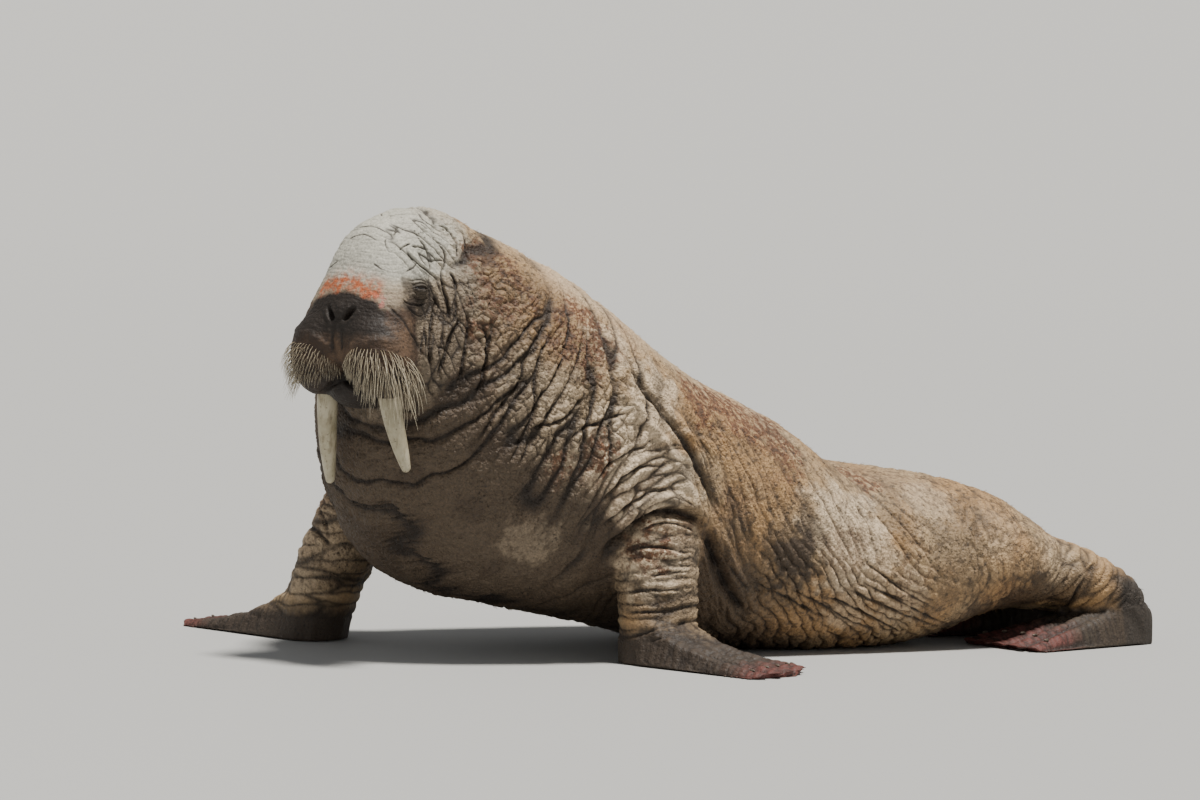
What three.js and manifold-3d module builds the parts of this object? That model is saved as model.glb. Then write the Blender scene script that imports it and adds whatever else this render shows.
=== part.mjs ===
// A bull walrus at rest on land: propped on its fore flippers, head raised and turned to its left,
// belly and hind flippers on the ground. Life size, in millimetres, +Z up, head towards -Y, left side at +X.
// The flesh is modelled whole and parted with thin cuts, so that each part is a solid of its own.
import * as THREE from 'three';
import { LoftGeometry } from 'three/addons/geometries/LoftGeometry.js';
import { mergeVertices } from 'three/addons/utils/BufferGeometryUtils.js';
import Module from 'manifold-3d';

const wasm = await Module();
wasm.setup();

// Driving dimensions
const CUT = 0.3; // width of the thin cut between two neighbouring parts
const HEAD_AT = [260, -980, 884]; // midpoint between the nostrils
const HEAD_TURN = 18; // degrees that the head is turned to its left
const TUSK_LENGTH = { left: 192, right: 240 }; // seen below the lip
const EYE_RADIUS = 20;
const FORE_FLIPPER_LENGTH = 430; // from the middle of the wrist to the tip of the longest digit
const HIND_FLIPPER_LENGTH = 545; // from the middle of the heel to the tip of the longest digit

const V = (x, y, z) => new THREE.Vector3(x, y, z);
const UP = V(0, 0, 1);
const radians = THREE.MathUtils.degToRad;
const SIDES = { left: 1, right: -1 };

// The trunk from the tail to the nape. A station gives the ridge of the back, the keel below it and half
// the width.
const TRUNK = [
  { ridge: [112, 1650, 180], keel: [112, 1640, 88], wide: 62 }, // tail root
  { ridge: [110, 1540, 247], keel: [108, 1530, 72], wide: 155 }, // ankles
  { ridge: [97, 1400, 322], keel: [95, 1390, 84], wide: 244 }, // thighs
  { ridge: [78, 1250, 414], keel: [76, 1230, 78], wide: 300 }, // hips
  { ridge: [50, 1070, 461], keel: [48, 1050, 12], wide: 344 }, // pelvis
  { ridge: [24, 860, 485], keel: [22, 840, -26], wide: 374 }, // loin
  { ridge: [9, 680, 512], keel: [4, 650, -38], wide: 392 }, // small of the back
  { ridge: [2, 520, 612], keel: [0, 470, -35], wide: 408 }, // waist
  { ridge: [2, 340, 687], keel: [0, 280, -10], wide: 420 }, // belly
  { ridge: [14, 140, 765], keel: [6, 60, 45], wide: 432 }, // ribs
  { ridge: [38, -70, 885], keel: [20, -190, 92], wide: 440 }, // behind the shoulders
  { ridge: [70, -270, 1002], keel: [45, -430, 130], wide: 428 }, // shoulders
  { ridge: [96, -410, 1058], keel: [78, -620, 190], wide: 388 }, // front of the chest
  { ridge: [118, -515, 1102], keel: [116, -750, 318], wide: 335 }, // base of the neck
  { ridge: [140, -610, 1133], keel: [160, -835, 480], wide: 264 }, // neck
  { ridge: [156, -690, 1142], keel: [192, -860, 630], wide: 204 }, // nape
];
const WIDEST = 0.47; // share of the trunk's height at which it is widest

// A closed mesh as a solid.
function solidOf(geometry) {
  const bare = new THREE.BufferGeometry().copy(geometry);
  bare.deleteAttribute('normal');
  bare.deleteAttribute('uv');
  const { index, attributes } = mergeVertices(bare, 1e-3);
  return new wasm.Manifold(new wasm.Mesh({
    numProp: 3,
    vertProperties: attributes.position.array,
    triVerts: new Uint32Array(index.array),
  }));
}

function geometryOf(solid) {
  const mesh = solid.getMesh();
  const geometry = new THREE.BufferGeometry();
  geometry.setAttribute('position', new THREE.BufferAttribute(new Float32Array(mesh.vertProperties), 3));
  geometry.setIndex(new THREE.BufferAttribute(new Uint32Array(mesh.triVerts), 1));
  geometry.computeVertexNormals();
  return geometry;
}

const smoothLine = (points) => new THREE.CatmullRomCurve3(points, false, 'catmullrom', 0.5);
const smoothValue = (values, t) => smoothLine(values.map((v, i) => V(i, v, 0))).getPoint(t).y;

// The points of an oval around a centre. power is 2 for an ellipse and more for a squarer shape.
function ovalSection({ centre, side, up, down }, { around, power }) {
  const points = [];
  for (let i = 0; i < around; i++) {
    const angle = (i / around) * 2 * Math.PI;
    const c = Math.sign(Math.cos(angle)) * Math.abs(Math.cos(angle)) ** (2 / power);
    const s = Math.sign(Math.sin(angle)) * Math.abs(Math.sin(angle)) ** (2 / power);
    points.push(centre.clone().addScaledVector(side, c).addScaledVector(s > 0 ? up : down, s));
  }
  return points;
}

// A closed solid through oval rings, rounded over at both ends by the given lengths.
function loft(rings, { around = 32, power = 2, rounding = [40, 40] }) {
  const END_RINGS = [0.6, 0.93];
  const cap = (ring, towards, length) => END_RINGS.map((reach) => {
    const share = Math.sqrt(1 - reach * reach);
    const outwards = ring.centre.clone().sub(towards.centre).normalize();
    return {
      centre: ring.centre.clone().addScaledVector(outwards, reach * length),
      side: ring.side.clone().multiplyScalar(share),
      up: ring.up.clone().multiplyScalar(share),
      down: ring.down.clone().multiplyScalar(share),
    };
  });
  const all = [
    ...cap(rings[0], rings[1], rounding[0]).reverse(),
    ...rings,
    ...cap(rings.at(-1), rings.at(-2), rounding[1]),
  ];
  const sections = all.map((ring) => ovalSection(ring, { around, power }));
  return solidOf(new LoftGeometry(sections, { capStart: true, capEnd: true }));
}

// Rings square to a smooth line through stations, each with a middle, half a width and a height above and
// below it. across is the direction of the width.
function ringsAlong(stations, { steps, across, grow = 0 }) {
  const line = smoothLine(stations.map((s) => V(...s.at)));
  const size = smoothLine(stations.map((s) => V(s.wide, s.up, s.down ?? s.up)));
  const count = (stations.length - 1) * steps;
  return Array.from({ length: count + 1 }, (_, i) => {
    const tangent = line.getTangent(i / count);
    const side = V(...across).addScaledVector(tangent, -tangent.dot(V(...across))).normalize();
    const upward = V(0, 0, 0).crossVectors(tangent, side);
    const { x, y, z } = size.getPoint(i / count);
    return {
      centre: line.getPoint(i / count),
      side: side.multiplyScalar(x + grow),
      up: upward.clone().multiplyScalar(y + grow),
      down: upward.clone().multiplyScalar(z + grow),
    };
  });
}

// Rings that follow the ridge and the keel of the trunk.
function trunkRings(steps) {
  const ridge = smoothLine(TRUNK.map((s) => V(...s.ridge)));
  const keel = smoothLine(TRUNK.map((s) => V(...s.keel)));
  const wide = TRUNK.map((s) => s.wide);
  const count = (TRUNK.length - 1) * steps;
  return Array.from({ length: count + 1 }, (_, i) => {
    const t = i / count;
    const top = ridge.getPoint(t);
    const bottom = keel.getPoint(t);
    const centre = bottom.clone().lerp(top, WIDEST);
    const side = V(0, 0, 0).crossVectors(UP, ridge.getTangent(t)).normalize();
    return {
      centre,
      side: side.multiplyScalar(smoothValue(wide, t)),
      up: top.clone().sub(centre),
      down: centre.clone().sub(bottom),
    };
  });
}

// An ellipsoid with half sizes along its own axes, turned by degrees about X, Y and Z.
function ellipsoid(at, half, { turn = [0, 0, 0], detail = [14, 10], grow = 0 } = {}) {
  const geometry = new THREE.SphereGeometry(1, ...detail);
  geometry.rotateX(Math.PI / 2);
  geometry.scale(...half.map((h) => h + grow));
  geometry.applyMatrix4(new THREE.Matrix4().makeRotationFromEuler(new THREE.Euler(...turn.map(radians))));
  geometry.translate(...at);
  return solidOf(geometry);
}

const joined = (solids) => solids.reduce((a, b) => a.add(b));
const onFloor = (solid) => solid.trimByPlane([0, 0, 1], 0);

// Trunk and shoulders
const SHOULDER = {
  left: { at: [345, -100, 455], half: [130, 190, 200], turn: [-15, 0, 0] },
  right: { at: [-292, -420, 500], half: [140, 190, 215], turn: [-15, 0, 14] },
};
const trunk = joined([
  loft(trunkRings(2), { around: 20, power: 2.15, rounding: [45, 60] }),
  ...Object.values(SHOULDER).map(({ at, half, turn }) => ellipsoid(at, half, { turn, detail: [10, 8] })),
]);

// Head, in its own frame: X to its left, Y backwards, Z up, from the midpoint between the nostrils
const headFrame = new THREE.Matrix4().makeRotationZ(radians(HEAD_TURN)).setPosition(...HEAD_AT);
const inWorld = (solid) => solid.transform(headFrame.elements);

const SKULL = [
  { at: [0, 10, -44], wide: 74, up: 84, down: 70 }, // nose
  { at: [0, 60, -32], wide: 122, up: 150, down: 165 }, // bridge
  { at: [0, 120, -18], wide: 146, up: 230, down: 200 }, // brow
  { at: [0, 195, -4], wide: 158, up: 262, down: 225 }, // forehead
  { at: [0, 285, 0], wide: 180, up: 276, down: 255 }, // crown
  { at: [0, 370, -6], wide: 206, up: 252, down: 290 }, // nape
];
const SNOUT = [
  { at: [0, 112, 120], wide: 109, up: 60 }, // between the eyes
  { at: [0, 92, 68], wide: 134, up: 74 },
  { at: [0, 74, 14], wide: 152, up: 84 }, // nostrils
  { at: [0, 64, -42], wide: 171, up: 89 },
  { at: [0, 62, -100], wide: 172, up: 84 }, // over the whisker pads
];
const PAD = { at: [86, 50, -96], half: [96, 90, 120], turn: [6, -16, -10] }; // left whisker pad
const CHIN = { at: [0, 84, -192], half: [82, 92, 48] };
const CHEEK = { at: [120, 215, -95], half: [64, 118, 128] };
const EYE_AT = [134, 132, 70];

const toSide = ([x, y, z], side) => [x * side, y, z];
const turnToSide = ([x, y, z], side) => [x, y * side, z * side];
const pad = (side) =>
  ellipsoid(toSide(PAD.at, side), PAD.half, { turn: turnToSide(PAD.turn, side), detail: [14, 10] });
const chin = (grow = 0) => ellipsoid(CHIN.at, CHIN.half, { detail: [10, 6], grow });
const eye = (side, grow = 0) =>
  ellipsoid(toSide(EYE_AT, side), [EYE_RADIUS, EYE_RADIUS, EYE_RADIUS], { detail: [10, 7], grow });
const skull = joined([
  loft(ringsAlong(SKULL, { steps: 2, across: [-1, 0, 0] }), { around: 18, power: 2.2, rounding: [22, 40] }),
  loft(ringsAlong(SNOUT, { steps: 1, across: [1, 0, 0] }), { around: 14, power: 2.1, rounding: [30, 40] }),
  ...Object.values(SIDES).map((side) => ellipsoid(toSide(CHEEK.at, side), CHEEK.half, { detail: [10, 8] })),
]);

// A tusk hangs from inside the whisker pad, spreads a little and sweeps back to a worn tip.
const TUSK_ROOT = [88, 58, -120];
const TUSK_LIP = [97, 72, -196];
const TUSK_SPREAD = 0.14; // outwards, per length
const TUSK_SWEEP = 0.28; // backwards, per length
function tusk(name, grow = 0) {
  const side = SIDES[name];
  const length = TUSK_LENGTH[name];
  const along = (share) => toSide([
    TUSK_LIP[0] + TUSK_SPREAD * length * share,
    TUSK_LIP[1] + TUSK_SWEEP * length * share ** 1.3,
    TUSK_LIP[2] - length * share,
  ], side);
  const stations = [
    { at: toSide(TUSK_ROOT, side), wide: 22, up: 30 },
    { at: along(0), wide: 26, up: 33 },
    { at: along(0.35), wide: 24, up: 30 },
    { at: along(0.7), wide: 19, up: 24 },
    { at: along(0.95), wide: 12, up: 15 },
  ];
  const rings = ringsAlong(stations, { steps: 1, across: [1, 0, 0], grow });
  return loft(rings, { around: 10, rounding: [4 + grow, 12 + grow] });
}

// Limbs
// A flipper spread on the floor: a fan of digits, thick at the root and thin at the tips. share runs across
// the fan from 0 to 1, with a digit's ridge and the web beside it at equal steps, and t runs from the root
// to the tips.
const WEB = 0.055; // how far the skin between two digits falls short of their tips
const GROOVE = 0.3; // how much thinner the flipper is between two digits at its tips
const SOLE = 4; // how far the edge of a section lies above its underside
function flipperPoint({ root, heading, rootWidth, tipWidth, lengths, heights }, t, share, grow = 0) {
  const ahead = V(Math.cos(radians(heading)), Math.sin(radians(heading)), 0);
  const aside = V(-ahead.y, ahead.x, 0);
  const across = 2 * share - 1;
  const onDigit = 0.5 - 0.5 * Math.cos(2 * Math.PI * share * lengths.length);
  const reach = smoothValue(lengths, share) * (1 - WEB * (1 - onDigit)) * (1 - 0.1 * across ** 6) + grow;
  const half = THREE.MathUtils.lerp(rootWidth, tipWidth, t) / 2 + grow;
  const height = (smoothValue(heights, t) + grow) * (1 - GROOVE * t * (1 - onDigit));
  const z = SOLE + height * (1 - across ** 4) ** 0.5;
  return V(...root, z).addScaledVector(ahead, t * reach).addScaledVector(aside, across * half);
}

function flipper(shape, grow = 0) {
  const RINGS = 6;
  const top = shape.lengths.length * 2;
  const sections = Array.from({ length: RINGS + 1 }, (_, i) => {
    const t = Math.sin((i / RINGS) * (Math.PI / 2));
    const upper = Array.from({ length: top + 1 }, (__, j) => flipperPoint(shape, t, 1 - j / top, grow));
    const sole = [0.15, 0.5, 0.85].map((share) => flipperPoint(shape, t, share, grow).setZ(-SOLE));
    return [...upper, ...sole];
  });
  return solidOf(new LoftGeometry(sections, { capStart: true, capEnd: true }));
}

// A claw lies on each digit, half sunk into it.
function claw(shape, digit, grow = 0) {
  const share = (digit + 0.5) / shape.lengths.length;
  const at = flipperPoint(shape, shape.clawAt, share);
  const slope = at.z - flipperPoint(shape, shape.clawAt + 0.05, share).z;
  const tilt = THREE.MathUtils.radToDeg(Math.atan2(slope, 0.05 * shape.lengths[digit]));
  return ellipsoid(at.toArray(), shape.clawHalf, { turn: [0, tilt, shape.heading], detail: [6, 3], grow });
}

// The forearms stand as columns from inside the shoulders to the floor, broad from front to back.
const FOREARM = {
  left: {
    across: [0, 1, 0],
    stations: [
      { at: [350, -84, 440], wide: 136, up: 98 },
      { at: [382, -74, 300], wide: 124, up: 92 },
      { at: [398, -70, 170], wide: 112, up: 86 },
      { at: [406, -72, 60], wide: 108, up: 82 },
      { at: [410, -74, -30], wide: 104, up: 80 },
    ],
  },
  right: {
    across: [-0.5, 0.87, 0],
    stations: [
      { at: [-300, -450, 470], wide: 140, up: 105 },
      { at: [-335, -520, 320], wide: 136, up: 98 },
      { at: [-362, -575, 190], wide: 126, up: 90 },
      { at: [-384, -604, 70], wide: 118, up: 85 },
      { at: [-392, -612, -30], wide: 112, up: 82 },
    ],
  },
};
const FORE_SHAPE = {
  rootWidth: 225, tipWidth: 320, heights: [150, 102, 62, 39, 26, 13], clawAt: 0.86, clawHalf: [10, 4, 4],
};
const FORE_DIGITS = [1, 0.99, 0.97, 0.95, 0.9]; // length of each digit, the first one foremost
const FORE_HEADING = { left: 22, right: 183 };
const WRIST_HEIGHT = 128; // of the cut between forearm and flipper

// The hind limbs run back from the thighs to the heels, and the flippers are folded forwards under them.
const HIND_STATIONS = [
  { at: [0, 1400, 200], wide: 120, up: 92 },
  { at: [-24, 1500, 165], wide: 112, up: 88 },
  { at: [-29, 1585, 118], wide: 102, up: 86 },
  { at: [-31, 1632, 55], wide: 94, up: 84 },
  { at: [-31, 1640, -10], wide: 88, up: 76 },
];
const HIND_MIRROR = 237; // sum of the X of a left and a right station
const ANKLE = {
  left: HIND_STATIONS.map((s) => ({ ...s, at: [HIND_MIRROR - s.at[0], s.at[1], s.at[2]] })),
  right: HIND_STATIONS,
};
const HIND_SHAPE = {
  rootWidth: 180, tipWidth: 310, heights: [140, 122, 96, 66, 40, 14], clawAt: 0.84, clawHalf: [14, 5, 5],
};
const HIND_DIGITS = [1, 0.92, 0.88, 0.92, 1];
const HIND_HEADING = { left: -84, right: -102 };
const HEEL_HEIGHT = 104; // of the cut between ankle and flipper

const foreShape = (name) => ({
  ...FORE_SHAPE,
  root: FOREARM[name].stations.at(-1).at.slice(0, 2),
  heading: FORE_HEADING[name],
  lengths: (name === 'left' ? FORE_DIGITS : [...FORE_DIGITS].reverse()).map((d) => d * FORE_FLIPPER_LENGTH),
});
const hindShape = (name) => ({
  ...HIND_SHAPE,
  root: ANKLE[name].at(-1).at.slice(0, 2),
  heading: HIND_HEADING[name],
  lengths: HIND_DIGITS.map((d) => d * HIND_FLIPPER_LENGTH),
});
const foreLimb = (name, grow = 0) => onFloor(joined([
  loft(ringsAlong(FOREARM[name].stations, { steps: 1, across: FOREARM[name].across, grow }),
    { around: 12, power: 2.3, rounding: [30 + grow, 20] }),
  flipper(foreShape(name), grow),
]));
const hindLimb = (name, grow = 0) => onFloor(joined([
  loft(ringsAlong(ANKLE[name], { steps: 1, across: [1, 0, 0], grow }),
    { around: 12, power: 2.2, rounding: [30 + grow, 20] }),
  flipper(hindShape(name), grow),
]));

// Parting. A cut has a point and a normal that points backwards. Half its width goes on either side.
const keep = (solid, point, normal) => solid.trimByPlane(normal.toArray(), normal.dot(point) + CUT / 2);
const behind = (solid, { point, normal }) => keep(solid, point, normal);
const before = (solid, { point, normal }) => keep(solid, point, normal.clone().negate());
const largest = (solid) => solid.decompose().reduce((a, b) => (b.volume() > a.volume() ? b : a));
const level = (height) => ({ point: V(0, 0, height), normal: V(0, 0, 1) });

// A cut across the trunk through the ridge and the keel of one of its stations.
function trunkCut(index) {
  const { ridge, keel } = TRUNK[index];
  const point = V(...ridge);
  const along = V(...TRUNK[index + 1].ridge).sub(V(...TRUNK[index - 1].ridge));
  const side = V(0, 0, 0).crossVectors(UP, along);
  return { point, normal: point.clone().sub(V(...keel)).cross(side).normalize() };
}

const headCut = (at, normal) => ({
  point: V(...at).applyMatrix4(headFrame),
  normal: V(...normal).transformDirection(headFrame),
});
const CUTS = {
  tail: trunkCut(1),
  rump: trunkCut(4),
  belly: trunkCut(9),
  chest: trunkCut(12),
  neck: headCut([0, 240, -25], [0, 1, -0.4]),
  snout: headCut([0, 96, 70], [0, 1, -0.12]),
  pads: headCut([0, 0, -6], [0, -0.2, 1]),
};

const NAMES = Object.keys(SIDES);
const perSide = (make) => joined(NAMES.map(make));
const flesh = onFloor(joined([trunk, inWorld(skull), perSide((name) => inWorld(pad(SIDES[name])))]));
const tusks = perSide((name) => inWorld(tusk(name, CUT)));
const eyes = perSide((name) => inWorld(eye(SIDES[name], CUT)));
const chinRoom = inWorld(chin(CUT)); // the lower jaw is kept whole, and its neighbours give way to it
const foreLimbs = perSide((name) => foreLimb(name, CUT));
const hindLimbs = perSide((name) => hindLimb(name, CUT));
const setInTrunk = joined([foreLimbs, hindLimbs, chinRoom]);
const trunkPart = (front, back) => {
  const cutBack = back ? before(flesh, back) : flesh;
  return largest((front ? behind(cutBack, front) : cutBack).subtract(setInTrunk));
};

const group = new THREE.Group();
function add(name, solid, color, roughness) {
  const material = new THREE.MeshStandardMaterial({ color, roughness, metalness: 0 });
  const mesh = new THREE.Mesh(geometryOf(solid), material);
  mesh.name = name;
  group.add(mesh);
}

const BACK = 0xa58c6c; // sunlit hide of the back
const FLANK = 0x94784f; // hide of the flank
const CROWN = 0xb3a48e; // pale hide of the head
const MUZZLE = 0x5e4a3a;
const LIMB = 0x7d6149;
const IVORY = 0x9d9480;
const EYE = 0x1d1410;
const CLAW = 0x4b3f34;
const HIDE_ROUGHNESS = 0.75;
const IVORY_ROUGHNESS = 0.4;
const EYE_ROUGHNESS = 0.08;
const CLAW_ROUGHNESS = 0.5;

const headFlesh = before(flesh, CUTS.neck);
const muzzle = before(headFlesh, CUTS.snout);
add('head', largest(behind(headFlesh, CUTS.snout).subtract(chinRoom).subtract(eyes).subtract(tusks)),
  CROWN, HIDE_ROUGHNESS);
add('snout', largest(behind(muzzle, CUTS.pads)), MUZZLE, HIDE_ROUGHNESS);
add('lower_jaw', largest(inWorld(chin()).subtract(tusks)), MUZZLE, HIDE_ROUGHNESS);
const lip = largest(before(muzzle, CUTS.pads).subtract(chinRoom));
add('neck', trunkPart(CUTS.neck, CUTS.chest), BACK, HIDE_ROUGHNESS);
add('chest', trunkPart(CUTS.chest, CUTS.belly), BACK, HIDE_ROUGHNESS);
add('belly', trunkPart(CUTS.belly, CUTS.rump), FLANK, HIDE_ROUGHNESS);
add('rump', trunkPart(CUTS.rump, CUTS.tail), FLANK, HIDE_ROUGHNESS);
add('tail', trunkPart(CUTS.tail, null), FLANK, HIDE_ROUGHNESS);

const middle = headCut([0, 0, 0], [1, 0, 0]);
for (const name of NAMES) {
  const half = name === 'left' ? behind(lip, middle) : before(lip, middle);
  add(`${name}_whisker_pad`, largest(half.subtract(tusks)), MUZZLE, HIDE_ROUGHNESS);
  add(`${name}_tusk`, inWorld(tusk(name)), IVORY, IVORY_ROUGHNESS);
  add(`${name}_eye`, inWorld(eye(SIDES[name])), EYE, EYE_ROUGHNESS);
  const arm = foreLimb(name);
  const leg = hindLimb(name);
  const foreClaws = (grow) => FORE_DIGITS.map((_, digit) => claw(foreShape(name), digit, grow));
  const hindClaws = (grow) => HIND_DIGITS.map((_, digit) => claw(hindShape(name), digit, grow));
  add(`${name}_forearm`, behind(arm, level(WRIST_HEIGHT)), LIMB, HIDE_ROUGHNESS);
  add(`${name}_fore_flipper`, before(arm, level(WRIST_HEIGHT)).subtract(joined(foreClaws(CUT))),
    LIMB, HIDE_ROUGHNESS);
  add(`${name}_ankle`, behind(leg, level(HEEL_HEIGHT)), FLANK, HIDE_ROUGHNESS);
  add(`${name}_hind_flipper`, before(leg, level(HEEL_HEIGHT)).subtract(joined(hindClaws(CUT))),
    LIMB, HIDE_ROUGHNESS);
  foreClaws(0).forEach((solid, digit) => add(`${name}_fore_claw_${digit + 1}`, solid, CLAW, CLAW_ROUGHNESS));
  hindClaws(0).forEach((solid, digit) => add(`${name}_hind_claw_${digit + 1}`, solid, CLAW, CLAW_ROUGHNESS));
}

// The origin is the middle of the underside of the whole.
const box = new THREE.Box3().setFromObject(group);
const centre = box.getCenter(V(0, 0, 0));
for (const mesh of group.children) mesh.geometry.translate(-centre.x, -centre.y, -box.min.z);

export default group;
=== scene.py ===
"""A bull walrus at rest on land: one wrinkled skin, eyes, tusks, claws, whiskers and short hairs."""
import math
from concurrent.futures import ThreadPoolExecutor
from itertools import product

import bmesh
import bpy
import numpy as np
from mathutils import Matrix, Vector
from mathutils.bvhtree import BVHTree


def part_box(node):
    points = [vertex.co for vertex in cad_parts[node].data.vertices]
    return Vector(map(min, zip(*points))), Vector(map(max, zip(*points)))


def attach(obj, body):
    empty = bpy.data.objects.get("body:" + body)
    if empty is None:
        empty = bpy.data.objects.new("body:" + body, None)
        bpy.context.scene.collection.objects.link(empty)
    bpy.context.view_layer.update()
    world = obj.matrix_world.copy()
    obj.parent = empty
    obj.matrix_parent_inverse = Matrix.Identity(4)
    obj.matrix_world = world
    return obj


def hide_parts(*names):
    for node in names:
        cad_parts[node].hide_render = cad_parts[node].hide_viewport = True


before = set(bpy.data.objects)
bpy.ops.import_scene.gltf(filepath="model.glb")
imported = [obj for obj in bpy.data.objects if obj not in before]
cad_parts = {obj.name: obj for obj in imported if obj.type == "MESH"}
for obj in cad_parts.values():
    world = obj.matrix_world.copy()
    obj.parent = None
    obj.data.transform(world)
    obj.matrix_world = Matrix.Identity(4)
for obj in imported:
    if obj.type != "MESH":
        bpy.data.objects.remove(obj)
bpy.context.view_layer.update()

SIDES = {"left": 1, "right": -1}
FLESH = ["head", "snout", "lower_jaw", "neck", "chest", "belly", "rump", "tail"] + [
    f"{side}_{part}"
    for side in SIDES
    for part in ("whisker_pad", "forearm", "fore_flipper", "ankle", "hind_flipper")
]
TRUNK = ("neck", "chest", "belly", "rump", "tail")
FACE = ("head", "snout", "pad", "jaw")

# Camera: the picture is 1200 by 800 and is seen from a long way off through a long lens
PICTURE = (1200, 800)
FOCAL = 5700.0  # in pixels of the picture
DISTANCE = 15.0
AIM = np.array([0.003, -0.335, 0.655])  # what lies at the middle of the picture
AZIMUTH, ELEVATION, ROLL = np.radians([54.0, 3.0, 2.2])

FORWARD = np.array([
    -math.sin(AZIMUTH) * math.cos(ELEVATION), math.cos(AZIMUTH) * math.cos(ELEVATION), -math.sin(ELEVATION)
])
LEVEL = np.array([math.cos(AZIMUTH), math.sin(AZIMUTH), 0.0])
PICTURE_X = LEVEL * math.cos(ROLL) + np.cross(LEVEL, FORWARD) * math.sin(ROLL)
PICTURE_Y = np.cross(PICTURE_X, FORWARD)
CAMERA_AT = AIM - FORWARD * DISTANCE

# Skin
GROW = 0.0006  # closes the cuts between the solids
VOXEL = 0.005
COAT_DEPTH = 0.0015  # how far the skin lies inside the solids
BLUR_ROUNDS, BLUR_SHARE = 8, 0.6  # how the solids' shares of the skin run into each other
TRUNK_ROUNDS, LIMB_ROUNDS, LAST_ROUNDS = 200, 40, 3  # how often each part of the skin is smoothed
OWNER_CELL = 0.012  # places in one cell of this size share their nearest solid
FINE_BACK = 0.30  # behind this in the head frame the skin's mesh is coarse
FINE_ABOVE = 0.36  # above this height the neck, the chest and the arms have a fine mesh
FINE_EYE = 0.045  # around each eye the mesh is finest
GROUND = 0.0005  # no part of the skin lies lower

# Head frame: X to the animal's left, Y backwards, Z up, from the midpoint between the nostrils
HEAD_TURN = math.radians(18)
EYE_BACK, EYE_UP = 0.132, 0.070
EYE_RADIUS = 0.020

# Spine from the nape to the tail, halfway between the back and the belly
SPINE = np.array([
    (0.160, -1.110, 0.890), (0.134, -1.056, 0.807), (0.100, -0.966, 0.710), (0.070, -0.848, 0.624),
    (0.041, -0.683, 0.566), (0.012, -0.463, 0.489), (-0.007, -0.233, 0.405), (-0.016, -0.023, 0.339),
    (-0.016, 0.162, 0.289), (-0.010, 0.332, 0.237), (0.006, 0.517, 0.230), (0.032, 0.727, 0.237),
    (0.060, 0.907, 0.246), (0.079, 1.062, 0.203), (0.092, 1.202, 0.160), (0.095, 1.350, 0.130),
])
SPINE_STEPS = 160
SPINE_PARTS = 24  # places are measured from the spine in this many parts, to spare memory


# Numbers that depend only on a place

CORES, CHUNK = 4, 40000  # processor cores, and about how many places each works out at once
AXIS_FACTORS = np.array([73856093, 19349663, 83492791], np.uint64)
SEED_FACTOR = 2654435761
MIXERS = np.array([0xBF58476D1CE4E5B9, 0x94D049BB133111EB], np.uint64)
NOISE_SCALE = 1.6  # brings noise to between about -1 and 1
SEED_MARGIN = 0.1  # between a scattered seed and the sides of its cell


def in_chunks(work):
    """The same function of places, worked out for a part of them on each processor core."""
    def whole(places, *args):
        parts = np.array_split(places, max(1, len(places) // CHUNK))
        with ThreadPoolExecutor(CORES) as pool:
            results = list(pool.map(lambda part: work(part, *args), parts))
        if isinstance(results[0], tuple):
            return tuple(np.concatenate(column) for column in zip(*results))
        return np.concatenate(results)
    return whole


def hashed(cells, seed):
    """Three numbers between 0 and 1 for each whole-numbered cell."""
    products = cells.astype(np.int64).astype(np.uint64) * AXIS_FACTORS
    key = products[:, 0] ^ products[:, 1] ^ products[:, 2] ^ np.uint64(seed * SEED_FACTOR)
    for factor in MIXERS:
        key = (key ^ (key >> np.uint64(29))) * factor
    key ^= key >> np.uint64(32)
    parts = [(key >> np.uint64(shift)) & np.uint64(0xFFFFF) for shift in (0, 20, 40)]
    return np.stack(parts, 1) / 0xFFFFF


@in_chunks
def noise(points, seed):
    """Smooth noise between about -1 and 1, with waves about one unit long."""
    base = np.floor(points)
    part = points - base
    ease = part ** 3 * (part * (part * 6 - 15) + 10)
    total = np.zeros(len(points))
    for corner in product((0, 1), repeat=3):
        corner = np.array(corner)
        slope = hashed(base + corner, seed) * 2 - 1
        weight = np.where(corner, ease, 1 - ease).prod(1)
        total += weight * ((part - corner) * slope).sum(1)
    return total * NOISE_SCALE


@in_chunks
def scattered(points, seed):
    """Distances to the nearest and the second nearest of seeds, one of them in each unit cell."""
    base = np.floor(points)
    first = np.full(len(points), np.inf)
    second = first.copy()
    for offset in product((-1, 0, 1), repeat=3):
        cell = base + offset
        seeds = cell + SEED_MARGIN + (1 - 2 * SEED_MARGIN) * hashed(cell, seed)
        squared = ((seeds - points) ** 2).sum(1)
        second = np.minimum(second, np.maximum(first, squared))
        first = np.minimum(first, squared)
    return np.sqrt(first), np.sqrt(second)


def ramp(values, low, high):
    """0 below low, 1 above high, and smooth between."""
    share = np.clip((values - low) / (high - low), 0, 1)
    return share * share * (3 - 2 * share)


def bell(values, width):
    return np.exp(-((values / width) ** 2))


def stacked(*columns):
    return np.stack(columns, 1)


def lengths(vectors):
    return np.linalg.norm(vectors, axis=-1)


def unit(vectors):
    """The same vectors with a length of 1."""
    return vectors / lengths(vectors)[..., None]


def wandering(co, seed, *waves):
    """Smooth offsets of places, the sum of waves that each have a length and a size in metres."""
    total = 0
    for k, (length, size) in enumerate(waves):
        total = total + stacked(*[noise(co / length, seed + 3 * k + axis) for axis in range(3)]) * size
    return total


# Meshes as arrays

MOST_NEIGHBOURS = 8  # of one vertex


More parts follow.
